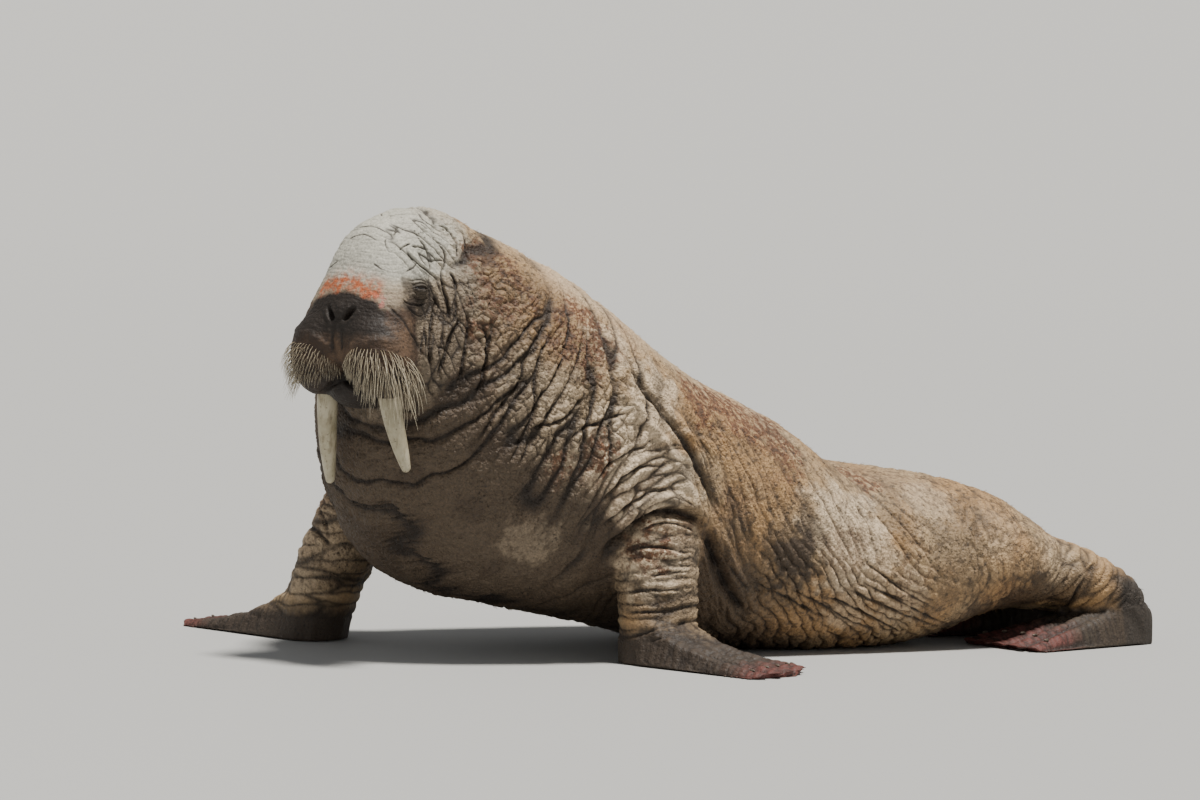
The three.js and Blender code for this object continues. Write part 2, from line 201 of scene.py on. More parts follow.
def arrays_of(mesh):
    co = np.empty(len(mesh.vertices) * 3, np.float32)
    mesh.vertices.foreach_get("co", co)
    mesh.calc_loop_triangles()
    faces = np.empty(len(mesh.loop_triangles) * 3, np.int32)
    mesh.loop_triangles.foreach_get("vertices", faces)
    return co.reshape(-1, 3).astype(float), faces.reshape(-1, 3).astype(np.int64)


def placed(name, data):
    obj = bpy.data.objects.new(name, data)
    bpy.context.scene.collection.objects.link(obj)
    return obj


def shade_smooth(mesh):
    mesh.polygons.foreach_set("use_smooth", np.ones(len(mesh.polygons), bool))


def spent(obj):
    """The arrays of an object with its modifiers. The object itself is removed."""
    evaluated = obj.evaluated_get(bpy.context.evaluated_depsgraph_get())
    result = arrays_of(evaluated.to_mesh())
    evaluated.to_mesh_clear()
    mesh = obj.data
    bpy.data.objects.remove(obj)
    bpy.data.meshes.remove(mesh)
    return result


def edges_of(faces):
    pairs = np.concatenate([faces[:, [0, 1]], faces[:, [1, 2]], faces[:, [2, 0]]])
    pairs.sort(axis=1)
    return np.unique(pairs, axis=0)


def neighbours_of(count, edges):
    """The neighbours of each vertex in the columns of a table, and how many each has."""
    both = np.concatenate([edges, edges[:, ::-1]])
    both = both[np.argsort(both[:, 0], kind="stable")]
    start = np.searchsorted(both[:, 0], np.arange(count))
    place = np.arange(len(both)) - start[both[:, 0]]
    keep = place < MOST_NEIGHBOURS
    table = np.repeat(np.arange(count)[:, None], MOST_NEIGHBOURS, 1)
    table[both[keep, 0], place[keep]] = both[keep, 1]
    return table, np.bincount(both[keep, 0], minlength=count)


def relax(values, edges, times, share):
    """Moves each vertex's values towards the mean of its neighbours', share of the way, times times."""
    table, degree = neighbours_of(len(values), edges)
    values = values.astype(np.float32)
    spare = (table.shape[1] - degree)[:, None].astype(np.float32)
    degree = np.maximum(degree, 1)[:, None].astype(np.float32)
    for _ in range(times):
        mean = values[table[:, 0]].copy()
        for column in range(1, table.shape[1]):
            mean += values[table[:, column]]
        mean = (mean - spare * values) / degree
        values = values + np.float32(share) * (mean - values)
    return values.astype(float)


def normals_of(co, faces):
    a, b, c = co[faces[:, 0]], co[faces[:, 1]], co[faces[:, 2]]
    cross = np.cross(b - a, c - a)
    normals = np.zeros_like(co)
    for axis in range(3):
        normals[:, axis] = sum(
            np.bincount(faces[:, corner], cross[:, axis], len(co)) for corner in range(3)
        )
    return normals / np.maximum(lengths(normals), 1e-12)[:, None]


def outer_part(co, faces):
    """Leaves out every piece that doesn't hang together with the highest vertex."""
    table, _ = neighbours_of(len(co), edges_of(faces))
    kept = np.zeros(len(co), bool)
    edge = np.array([co[:, 2].argmax()])
    while len(edge):
        kept[edge] = True
        edge = np.unique(table[edge])
        edge = edge[~kept[edge]]
    index = np.cumsum(kept) - 1
    return co[kept], index[faces[kept[faces[:, 0]]]]


def refine(co, faces, chosen, *tables):
    """Halves every edge between two chosen vertices. tables hold values of the vertices."""
    edges = edges_of(faces)
    split = edges[chosen[edges[:, 0]] & chosen[edges[:, 1]]]
    key = split[:, 0] * len(co) + split[:, 1]
    order = np.argsort(key)
    key, split = key[order], split[order]
    new = len(co) + np.arange(len(split))

    def mid(a, b):
        low, high = np.minimum(a, b), np.maximum(a, b)
        return new[np.searchsorted(key, low * len(co) + high)]

    grown = [np.concatenate([t, (t[split[:, 0]] + t[split[:, 1]]) / 2]) for t in (co, *tables)]
    inside = chosen[faces]
    count = inside.sum(1)
    whole = faces[count < 2]
    full = faces[count == 3]
    ab, bc, ca = mid(full[:, 0], full[:, 1]), mid(full[:, 1], full[:, 2]), mid(full[:, 2], full[:, 0])
    quarters = [
        np.stack([full[:, 0], ab, ca], 1), np.stack([full[:, 1], bc, ab], 1),
        np.stack([full[:, 2], ca, bc], 1), np.stack([ab, bc, ca], 1),
    ]
    halves = []
    for turn in range(3):
        a, b, c = turn, (turn + 1) % 3, (turn + 2) % 3
        two = faces[(count == 2) & inside[:, a] & inside[:, b]]
        m = mid(two[:, a], two[:, b]) if len(two) else two[:, 0]
        halves += [np.stack([two[:, a], m, two[:, c]], 1), np.stack([m, two[:, b], two[:, c]], 1)]
    return (grown[0], np.concatenate([whole, *quarters, *halves]), *grown[1:])


def mesh_object(name, co, faces):
    mesh = bpy.data.meshes.new(name)
    mesh.vertices.add(len(co))
    mesh.vertices.foreach_set("co", np.asarray(co, np.float32).ravel())
    size = faces.shape[1]
    mesh.loops.add(faces.size)
    mesh.loops.foreach_set("vertex_index", faces.ravel().astype(np.int32))
    mesh.polygons.add(len(faces))
    mesh.polygons.foreach_set("loop_start", np.arange(0, faces.size, size, dtype=np.int32))
    mesh.polygons.foreach_set("loop_total", np.full(len(faces), size, np.int32))
    shade_smooth(mesh)
    mesh.update()
    mesh.validate()
    return placed(name, mesh)


# The skin before its wrinkles

def flesh_solids():
    """The flesh and the eyeballs in one mesh, each solid grown a little so that they overlap."""
    whole = bmesh.new()
    for name in FLESH + ["left_eye", "right_eye"]:
        part = bmesh.new()
        part.from_mesh(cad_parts[name].data)
        bmesh.ops.remove_doubles(part, verts=part.verts, dist=1e-5)
        part.normal_update()
        for vertex in part.verts:
            vertex.co += vertex.normal * GROW
        mesh = bpy.data.meshes.new("part")
        part.to_mesh(mesh)
        part.free()
        whole.from_mesh(mesh)
        bpy.data.meshes.remove(mesh)
    mesh = bpy.data.meshes.new("flesh")
    whole.to_mesh(mesh)
    whole.free()
    return mesh


def remeshed(mesh):
    obj = placed("flesh", mesh)
    modifier = obj.modifiers.new("remesh", "REMESH")
    modifier.mode = "VOXEL"
    modifier.voxel_size = VOXEL
    modifier.adaptivity = 0
    return spent(obj)


SHARE_STEPS = 20  # shares are rounded to one part in this many


def smoothed(co, faces, times, share):
    """Moves each vertex towards its neighbours, share of half the way, times times."""
    obj = mesh_object("smoothed", co, faces)
    group = obj.vertex_groups.new(name="share")
    level = np.round(share * SHARE_STEPS) / SHARE_STEPS
    for value in np.unique(level):
        group.add(np.nonzero(level == value)[0].tolist(), float(value), "REPLACE")
    modifier = obj.modifiers.new("smooth", "SMOOTH")
    modifier.factor = 0.5
    modifier.iterations = times
    modifier.vertex_group = "share"
    return spent(obj)[0]


def solids_tree():
    """The flesh solids as a search tree, and the index in FLESH of each face's solid."""
    places, faces, owner, start = [], [], [], 0
    for index, name in enumerate(FLESH):
        part, part_faces = arrays_of(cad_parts[name].data)
        places.append(part)
        faces.append(part_faces + start)
        owner += [index] * len(part_faces)
        start += len(part)
    return BVHTree.FromPolygons(np.concatenate(places).tolist(), np.concatenate(faces).tolist()), owner


def nearest_solid(co, tree, owner):
    """For each place, the index in FLESH of the flesh solid nearest to it, the same for a cell of places."""
    _, first, cell = np.unique(np.floor(co / OWNER_CELL), axis=0, return_index=True, return_inverse=True)
    found = np.array([owner[tree.find_nearest(Vector(place))[2]] for place in co[first]])
    return found[cell.ravel()]


class Skin:
    """The skin's mesh with what is known about each vertex: its share in each solid, and its masks."""

    def __init__(self, co, faces, weights):
        self.co, self.faces, self.weights = co, faces, weights
        self.masks = {}

    def share(self, *names):
        """Of the solids whose names end in one of names."""
        return sum(self.weights[:, i] for i, solid in enumerate(FLESH) if solid.endswith(names))

    def refine(self, chosen):
        self.co, self.faces, self.weights = refine(self.co, self.faces, chosen, self.weights)

    def ready(self):
        """For wrinkles: heights over the smooth skin, creases, and places along the spine."""
        self.normals = normals_of(self.co, self.faces)
        self.height = np.zeros(len(self.co))
        self.crease = np.zeros(len(self.co))
        self.along, self.left, self.above = spine_places(self.co).T


def base_skin(tree, owner):
    co, faces = outer_part(*remeshed(flesh_solids()))
    owners = np.eye(len(FLESH))[nearest_solid(co, tree, owner)]
    skin = Skin(co, faces, relax(owners, edges_of(faces), BLUR_ROUNDS, BLUR_SHARE))
    hands = skin.share("flipper")
    trunk = skin.share(*TRUNK)
    skin.co = smoothed(skin.co, faces, TRUNK_ROUNDS, ramp(trunk, 0.3, 1))
    firm = 0.9 * hands * (1 - ramp(skin.co[:, 2], 0.045, 0.075))
    skin.co = smoothed(skin.co, faces, LIMB_ROUNDS, 1 - firm)
    skin.co = smoothed(skin.co, faces, LAST_ROUNDS, np.ones(len(co)))
    skin.co -= normals_of(skin.co, faces) * COAT_DEPTH
    return skin


# Places on the body

def eye_middle(side):
    low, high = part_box(f"{side}_eye")
    return (np.array(low) + np.array(high)) / 2


HEAD_AXES = np.array([
    (math.cos(HEAD_TURN), math.sin(HEAD_TURN), 0), (-math.sin(HEAD_TURN), math.cos(HEAD_TURN), 0), (0, 0, 1)
])
HEAD_AT = (eye_middle("left") + eye_middle("right")) / 2 - np.array([0, EYE_BACK, EYE_UP]) @ HEAD_AXES


def in_head(co):
    return (co - HEAD_AT) @ HEAD_AXES.T


def from_head(places):
    return HEAD_AT + np.asarray(places, float) @ HEAD_AXES


def to_eyes(co):
    """The distance of each place from the nearer eye's middle."""
    return np.min([lengths(co - eye_middle(side)) for side in SIDES], 0)


def curve(points, count):
    """count places on a smooth line through points."""
    points = np.asarray(points, float)
    padded = np.concatenate([2 * points[:1] - points[1:2], points, 2 * points[-1:] - points[-2:-1]])
    at = np.linspace(0, len(points) - 1, count)
    index = np.minimum(at.astype(int), len(points) - 2)
    t = (at - index)[:, None]
    a, b, c, d = (padded[index + k] for k in range(4))
    square, cube = 2 * a - 5 * b + 4 * c - d, 3 * b - a - 3 * c + d
    return 0.5 * (2 * b + (c - a) * t + square * t ** 2 + cube * t ** 3)


SPINE_LINE = curve(SPINE, SPINE_STEPS)
SPINE_AHEAD = np.gradient(SPINE_LINE, axis=0)


def spine_places(co):
    """For each place: how far along the spine, how far to the left of it, and how far above it."""
    reach = np.concatenate([[0], np.cumsum(lengths(np.diff(SPINE_LINE, axis=0)))])
    ahead = unit(SPINE_AHEAD)
    left = unit(np.cross(ahead, (0, 0, 1)))
    up = np.cross(left, ahead)
    places = np.empty((len(co), 3))
    for part in np.array_split(np.arange(len(co)), SPINE_PARTS):
        near = ((co[part, None] - SPINE_LINE[None]) ** 2).sum(2).argmin(1)
        offset = co[part] - SPINE_LINE[near]
        along, across, above = [(offset * axis[near]).sum(1) for axis in (ahead, left, up)]
        places[part] = stacked(reach[near] + along, across, above)
    return places


def on_picture(tree, points):
    """Where the lines of sight through points of the picture meet the flesh."""
    places = []
    for x, y in points:
        way = FORWARD + PICTURE_X * (x - PICTURE[0] / 2) / FOCAL - PICTURE_Y * (y - PICTURE[1] / 2) / FOCAL
        hit = tree.ray_cast(Vector(CAMERA_AT), Vector(way).normalized())[0]
        if hit is None:
            hit = tree.find_nearest(Vector(CAMERA_AT + way * DISTANCE))[0]
        places.append(hit)
    return np.array(places)


def mirrored(tree, places):
    """The same places on the other side of the head."""
    flipped = from_head(in_head(places) * (-1, 1, 1))
    return np.array([tree.find_nearest(Vector(place))[0] for place in flipped])


def both_flanks(tree, point, seed):
    """The place at a point of the picture with its seed, and the like place on the other flank."""
    place = on_picture(tree, [point])[0]
    near = ((place - SPINE_LINE) ** 2).sum(1).argmin()
    left = unit(np.cross(SPINE_AHEAD[near], (0, 0, 1)))
    other = place - 2 * ((place - SPINE_LINE[near]) @ left) * left
    return (place, seed), (np.array(tree.find_nearest(Vector(other))[0]), seed + 20)


# Wrinkles. Heights are in metres, below 0 in a crease, and creases go from 0 to 1. The creases are also
# painted dark in the skin's colour, as shade.

THROUGH = 0.03  # a line farther than this above or below the skin isn't near it


def line_distance(skin, line, reach):
    """Vertices near a line: their indices, distances from it over the skin, and shares of its length."""
    near = ((skin.co > line.min(0) - reach) & (skin.co < line.max(0) + reach)).all(1).nonzero()[0]
    co, normals = skin.co[near], skin.normals[near]
    best = np.full(len(near), 1e3)
    share = np.zeros(len(near))
    for k in range(len(line) - 1):
        way = line[k + 1] - line[k]
        t = np.clip((co - line[k]) @ way / max(way @ way, 1e-12), 0, 1)
        offset = co - line[k] - t[:, None] * way
        through = (offset * normals).sum(1)
        squared = np.maximum((offset ** 2).sum(1) - through ** 2, 0) + np.where(abs(through) > THROUGH, 1, 0)
        closer = squared < best
        best = np.where(closer, squared, best)
        share = np.where(closer, (k + t) / (len(line) - 1), share)
    distance = np.sqrt(best)
    keep = distance < reach
    return near[keep], distance[keep], share[keep]


def carve(skin, points, width, depth, lip=0.3, ends=0.22, seed=0, wobble=0.35, tone=0.8):
    """A crease along a line of points, with a swelling on either side of it. tone sets how wide its painted
    shade is.
    """
    line = curve(points, len(points) * 5)
    near, distance, share = line_distance(skin, line, width * 5)
    if not len(near):
        return
    co = skin.co[near]
    distance = abs(distance + wobble * width * noise(co / (width * 5), seed) * ramp(distance, 0, width))
    taper = ramp(share, 0, ends) * ramp(1 - share, 0, ends)
    taper *= 0.8 + 0.35 * noise(co / 0.03, seed + 1)
    inside = np.exp(-((distance / width) ** 1.6))
    outside = bell(distance - 2.1 * width, 1.1 * width)
    skin.height[near] += taper * depth * (lip * outside - inside)
    # painted shade: how dark the crease is drawn in the skin's colour
    skin.crease[near] = np.maximum(skin.crease[near], taper * np.exp(-((distance / (tone * width)) ** 2)))


def cell_folds(places, sharp, seed, dome=0.45):
    """Flat cells parted by creases: the height from -1 in a crease to about dome, and the crease."""
    first, second = scattered(places, seed)
    crease = np.exp(-(second - first) / sharp)
    return dome * (1 - np.minimum(first, 1) ** 2) - crease, crease


def pillows(places, reach, seed):
    """Rounded bumps that meet in grooves: the height from -0.6 in a groove to 0.4, and the groove."""
    first, second = scattered(places, seed)
    gap = second - first
    height = 1 - (1 - np.clip(gap / reach, 0, 1)) ** 2
    return height - 0.6, np.exp(-((gap / (0.28 * reach)) ** 1.2))


def long_folds(places, sharp, seed):
    """Long wavy grooves along the lines where smooth noise passes 0, with swellings between them."""
    level = abs(noise(places, seed))
    crease = np.exp(-((level / sharp) ** 1.3))
    return 0.5 * (1 - bell(level, 3 * sharp)) - crease, crease


def beaded_rows(places, seed):
    """Rounded beads in rows: the first column counts rows and the second counts beads along them."""
    row = np.floor(places[:, 0])
    shift = hashed(np.floor(stacked(row, 0 * row, 0 * row)), seed)[:, 0]
    across = abs(2 * (places[:, 0] - row) - 1)
    bead = places[:, 1] + shift
    ends = abs(2 * (bead - np.floor(bead)) - 1)
    height = (1 - across ** 2.6) * (1 - 0.45 * ends ** 3)
    return height - 0.6, np.maximum(ramp(across, 0.72, 1.0), 0.55 * ramp(ends, 0.75, 1.0))


def add_field(skin, weight, places_of, folds, depth, dark=0.5):
    """Adds a field of wrinkles where weight isn't 0.

    places_of gives the places of chosen vertices in the field's own units. folds holds the kind of
    fold and its options. depth is a number of metres or one for each vertex, and dark is how much
    the creases are painted dark, as shade, in the skin's colour.
    """
    chosen = (weight > 0.01).nonzero()[0]
    if not len(chosen):
        return
    kind, *options = folds
    height, crease = kind(places_of(chosen), *options)
    depth = np.broadcast_to(depth, weight.shape)[chosen]
    skin.height[chosen] += weight[chosen] * depth * height
    strength = dark * weight[chosen] * np.clip(depth / 0.006, 0, 1)
    skin.crease[chosen] = np.maximum(skin.crease[chosen], crease * strength)


def every_way(co, warp, period, share=1.0):
    """Places for folds that run no way in particular: a period is one fold's width."""
    return lambda i: (co[i] + share * warp[i]) / period


def wrinkle_trunk(skin):
    """Long folds around the neck, pillows between them, rows of beads low on the flanks, and ribs behind."""
    co = skin.co
    warp = wandering(co, 11, (0.11, 0.016), (0.035, 0.006))
    along, left, above = skin.along, skin.left, skin.above
    trunk = skin.share(*TRUNK)
    around = stacked(left, above) + warp[:, 1:]
    a = along + warp[:, 0]
    reach = along + 0.4 * np.maximum(above, 0)
    neck = trunk + skin.share("head") * ramp(in_head(co)[:, 1], 0.20, 0.27)
    neck = neck * (1 - ramp(reach, 0.65, 0.95))
    flank = trunk * ramp(reach, 0.65, 0.95) * (1 - ramp(along, 1.75, 2.0))
    rump = trunk * ramp(along, 1.75, 2.0) * (1 - ramp(along, 2.2, 2.4))
    hind = trunk * ramp(along, 2.2, 2.4) + skin.share("ankle")
    low = ramp(-above, -0.04, 0.08) * ramp(along, 1.1, 1.3)
    high = flank * (1 - 0.85 * low)
    smooth_back = 1 - 0.55 * ramp(above, 0.14, 0.3)
    patchy = np.clip(0.75 + 0.7 * noise(co / 0.11, 21), 0.25, 1.4)
    bumpy = patchy * smooth_back
    bead_depth = 0.0135 * np.clip(0.85 + 0.5 * noise(co / 0.09, 23), 0.45, 1.2)
    chest = ramp(-above + 0.02 * noise(co / 0.1, 22), 0.10, 0.20)
    upright = np.zeros(len(co))
    slanted = 0.9 + 3.0 * np.maximum(-0.08 - above, 0)

    def bands(slant, period, length):
        """Bands across the body: a period is a band's width, and length is how far one runs."""
        return lambda i: stacked((a[i] + slant[i] * above[i]) / period, *(around[i] / length).T)

    def rows(i):
        return stacked((above[i] + 0.45 * a[i] + 1.4 * warp[i, 1]) / 0.031, a[i] / 0.036)

    def ribs(i):
        across = 0.75 * co[i, 1] - 0.66 * co[i, 2] + warp[i, 0] * 0.6
        return stacked(across / 0.026, *(around[i] / 0.16).T)

    for weight, places_of, folds, depth, *dark in (
        (neck, bands(upright, 0.080, 0.45), (long_folds, 0.13, 31), 0.0095 * smooth_back, 0.9),
        (neck * (1 - chest), bands(upright, 0.026, 0.034), (pillows, 0.75, 32), 0.0080 * bumpy),
        (neck * chest, bands(upright, 0.024, 0.060), (pillows, 0.85, 39), 0.0060 * patchy, 0.25),
        (neck * smooth_back, every_way(co, warp, 0.0125), (pillows, 0.7, 37), 0.0026),
        (high, bands(slanted, 0.070, 0.50), (long_folds, 0.12, 33), 0.0050 * smooth_back, 0.6),
        (flank * (1 - low), bands(slanted, 0.025, 0.055), (pillows, 0.75, 34), 0.0066 * bumpy),
        (flank * low, rows, (beaded_rows, 38), bead_depth, 0.65),
        (flank * low, every_way(co, warp, 0.018), (pillows, 0.8, 40), 0.0034),
        (rump, bands(upright, 0.027, 0.060), (pillows, 0.8, 35), 0.0075 * patchy),
        (hind, ribs, (pillows, 0.8, 36), 0.0100, 0.6),
    ):
        add_field(skin, weight, places_of, folds, depth, *dark)


SHOULDER = {  # the middle of the arcs of folds above each arm, and how far they reach
    "left": ((0.385, -0.420, 0.300), 0.36),
    "right": ((-0.340, -0.840, 0.320), 0.36),
}


def wrinkle_limbs(skin):
    """Arcs of folds over each shoulder, and rings of folds around each arm."""
    co = skin.co
    warp = wandering(co, 41, (0.09, 0.010), (0.03, 0.003))
    trunk = skin.share("neck", "chest", "belly")
    for side, (middle, reach) in SHOULDER.items():
        offset = co - middle
        distance = np.sqrt((offset ** 2).sum(1))
        weight = trunk * (1 - ramp(distance, 0.7 * reach, reach)) * ramp(offset[:, 2], -0.05, 0.08)
        weight *= ramp(offset[:, 0] * SIDES[side], -0.22, -0.05) * (1 - ramp(offset[:, 1], 0.04, 0.12))
        skin.height *= 1 - 0.6 * weight
        skin.crease *= 1 - 0.6 * weight
        turn = np.arctan2(offset[:, 1], offset[:, 2])

        def arcs(i):
            return stacked((distance[i] + warp[i, 0]) / 0.036, turn[i] * 1.4, 0 * turn[i])

        add_field(skin, weight, arcs, (pillows, 0.6, 47), 0.0090, 0.7)

    def rings(i):
        return stacked((co[i, 2] + warp[i, 0]) / 0.031, *(co[i, :2] / 0.24).T)

    arms = skin.share("forearm")
    wrists = skin.share("fore_flipper") * ramp(co[:, 2], 0.035, 0.075)
    ring_depth = 0.0085 * (0.75 + 0.4 * noise(co / 0.10, 24))
    add_field(skin, arms + wrists, rings, (pillows, 0.75, 48), ring_depth, 0.7)
    add_field(skin, arms, every_way(co, warp, 0.016), (pillows, 0.8, 49), 0.0020)


FLIPPERS = {  # root, heading in degrees, length, widths at the root and tips, share where the toes begin
    "left_fore_flipper": ((0.393, -0.407), 22, 0.43, (0.225, 0.32), 0.62),
    "right_fore_flipper": ((-0.409, -0.945), 183, 0.43, (0.225, 0.32), 0.62),
    "left_hind_flipper": ((0.251, 1.307), -84, 0.545, (0.18, 0.31), 0.45),
    "right_hind_flipper": ((-0.048, 1.307), -102, 0.545, (0.18, 0.31), 0.45),
}
DIGITS = 5
WEB_DEPTH, DIGIT_RISE, WRINKLE_DEPTH = 0.0055, 0.002, 0.0040


def flipper_places(co, name):
    """How far each place is along a flipper and across it, both as shares."""
    root, heading, length, (narrow, wide), _ = FLIPPERS[name]
    ahead = np.array([math.cos(math.radians(heading)), math.sin(math.radians(heading))])
    offset = co[:, :2] - root
    t = offset @ ahead / length
    across = offset @ (-ahead[1], ahead[0])
    return t, 0.5 + across / (narrow + (wide - narrow) * np.clip(t, 0, 1.1))


def wrinkle_flippers(skin):
    """Webs sunk between the digits, and fine folds across them."""
    warp = noise(skin.co / 0.05, 51) * 0.006
    skin.masks["toes"] = np.zeros(len(skin.co))
    for name, (_, _, length, _, toes) in FLIPPERS.items():
        i = (skin.share(name) > 0.02).nonzero()[0]
        weight = skin.share(name)[i]
        t, share = flipper_places(skin.co[i], name)
        on_top = ramp(skin.normals[i, 2], -0.1, 0.4)
        digit = 0.5 - 0.5 * np.cos(2 * math.pi * share * DIGITS)
        webbed = ramp(t, 0.3, 0.6)
        web = np.exp(-(digit / 0.16) ** 1.2) * webbed
        places = stacked((t * length + warp[i]) / 0.020, share * 4, np.zeros(len(i)))
        folds, crease = cell_folds(places, 0.2, 52)
        skin.height[i] += weight * on_top * (-WEB_DEPTH * web + DIGIT_RISE * digit * webbed)
        skin.height[i] += weight * on_top * WRINKLE_DEPTH * folds
        for strength, groove in ((0.8, web), (0.7, crease)):
            skin.crease[i] = np.maximum(skin.crease[i], strength * weight * on_top * groove)
        skin.masks["toes"][i] = weight * ramp(t + 0.06 * noise(skin.co[i] / 0.04, 53), toes, toes + 0.28)


def wrinkle_head(skin):
    """Cracks over the crown, long folds over the temples, and finer folds on the cheeks and the muzzle."""
    co = skin.co
    x, y, z = in_head(co).T
    warp = wandering(co, 61, (0.06, 0.008))
    head = skin.share("head", "snout")
    crown = head * ramp(z, 0.09, 0.15)
    cracked = crown * ramp(noise(co / 0.09, 64) + 2.5 * (y - 0.10), -0.1, 0.35)
    temple = crown * ramp(y, 0.06, 0.11) * (1 - ramp(y, 0.22, 0.30)) * ramp(abs(x), 0.03, 0.06)
    cheek = skin.share("head") * ramp(y, 0.10, 0.16) * (1 - ramp(z, 0.08, 0.13))
    muzzle = skin.share("head") * (1 - ramp(y, 0.10, 0.16)) * (1 - ramp(z, 0.07, 0.1))
    muzzle = skin.share("snout", "pad", "jaw") + muzzle
    slope, fall = (1.2 * y + z) / 1.56, (y - 1.2 * z) / 1.56

    def temple_places(i):
        return stacked((slope[i] + 0.6 * warp[i, 0]) / 0.026, fall[i] / 0.13, x[i] / 0.13)

    def cheek_places(i):
        return stacked((y[i] + 0.25 * z[i] + warp[i, 0]) / 0.024, x[i] / 0.08, z[i] / 0.08)

    def muzzle_places(i):
        return stacked((z[i] + warp[i, 0] * 0.5) / 0.011, x[i] / 0.045, y[i] / 0.045)

    for weight, places_of, folds, depth, *dark in (
        (cracked, every_way(co, warp, 0.036, 1.5), (cell_folds, 0.07, 65, 0.05), 0.0022, 1.3),
        (temple, temple_places, (long_folds, 0.085, 69), 0.0036, 1.5),
        (cheek, cheek_places, (cell_folds, 0.16, 66), 0.0040, 1.2),
        (muzzle, muzzle_places, (cell_folds, 0.2, 67), 0.0010),
        (head, every_way(co, warp, 0.009), (cell_folds, 0.3, 68), 0.0005),
    ):
        add_field(skin, weight, places_of, folds, depth, *dark)


# Creases that the picture shows: points of the picture, half a width and a depth in millimetres
HEAD_CREASES = [
    ([(436, 296), (435, 306), (432, 323), (430, 340), (430, 357), (433, 368)], 4.5, 15),  # behind the cheek
    ([(444, 262), (442, 275), (442.5, 288), (446.5, 300), (448, 313), (446, 328)], 3.8, 11),
    ([(462, 307), (459, 322), (452, 333), (448, 344), (444, 358), (439, 372), (437, 384)], 5, 14),
    ([(467, 300), (468, 332), (466, 348), (463, 365), (460, 382), (455, 398)], 5, 12),
    ([(481, 318), (488, 340), (487, 357), (485, 372), (478, 392)], 5, 11),
    ([(455, 298), (456, 312), (452, 326)], 3.5, 8),
    ([(442, 330), (441, 345), (438, 360)], 3.5, 8),
    ([(424, 330), (426, 345), (425, 362)], 3.0, 6),
    ([(416, 232), (420, 240), (427, 250), (430, 265), (432, 273)], 3.0, 8),  # across the temple
    ([(428, 230), (437, 242), (444, 252), (445, 262), (443, 275)], 3.2, 9),
    ([(405, 247), (410, 255), (420, 265), (433, 275), (441, 284)], 3.0, 9),
    ([(435, 222), (445, 228), (453, 238), (457, 250), (458, 264)], 3.2, 8),
    ([(446, 216), (456, 224), (463, 236), (465, 250)], 3.0, 7),
    ([(458, 226), (464, 238), (468, 253), (470, 266)], 3.2, 8),
    ([(410, 246), (420, 247), (429, 251)], 2.4, 6),
    ([(430, 262), (438, 260), (445, 262)], 2.4, 5),
    ([(420, 223), (428, 230)], 2.4, 5),
    ([(418, 262), (413, 268), (405, 272)], 2.2, 2),
    ([(449, 270), (455, 280), (457, 292)], 3.0, 8),
    ([(398, 225), (396, 231), (393, 236)], 2.2, 5),  # on the forehead
    ([(412, 243), (405, 246), (398, 251)], 2.2, 5),
    ([(388, 236), (385, 241), (388, 250), (395, 254)], 2.0, 2.2),
    ([(347, 240), (357, 235), (369, 233)], 2.2, 1.6),
    ([(350, 232), (362, 226), (376, 225)], 2.2, 1.2),
    ([(385, 216), (395, 214), (408, 213), (420, 215)], 2.4, 4),
    ([(372, 262), (380, 268), (390, 272)], 2.2, 1.2),
    ([(431, 296), (437, 303), (437, 311), (433, 322)], 3.0, 8),  # from the eye down
    ([(404, 305), (412, 312), (420, 316), (427, 314)], 2.6, 4),  # bags below the eye
    ([(402, 298), (409, 303), (418, 305), (428, 303)], 2.2, 4.5),
    ([(386, 304), (395, 312), (405, 322), (412, 333), (417, 346), (418, 358)], 4, 4),  # edge of the muzzle
    ([(425, 318), (424, 332), (421, 346), (421, 360)], 3, 5),
]
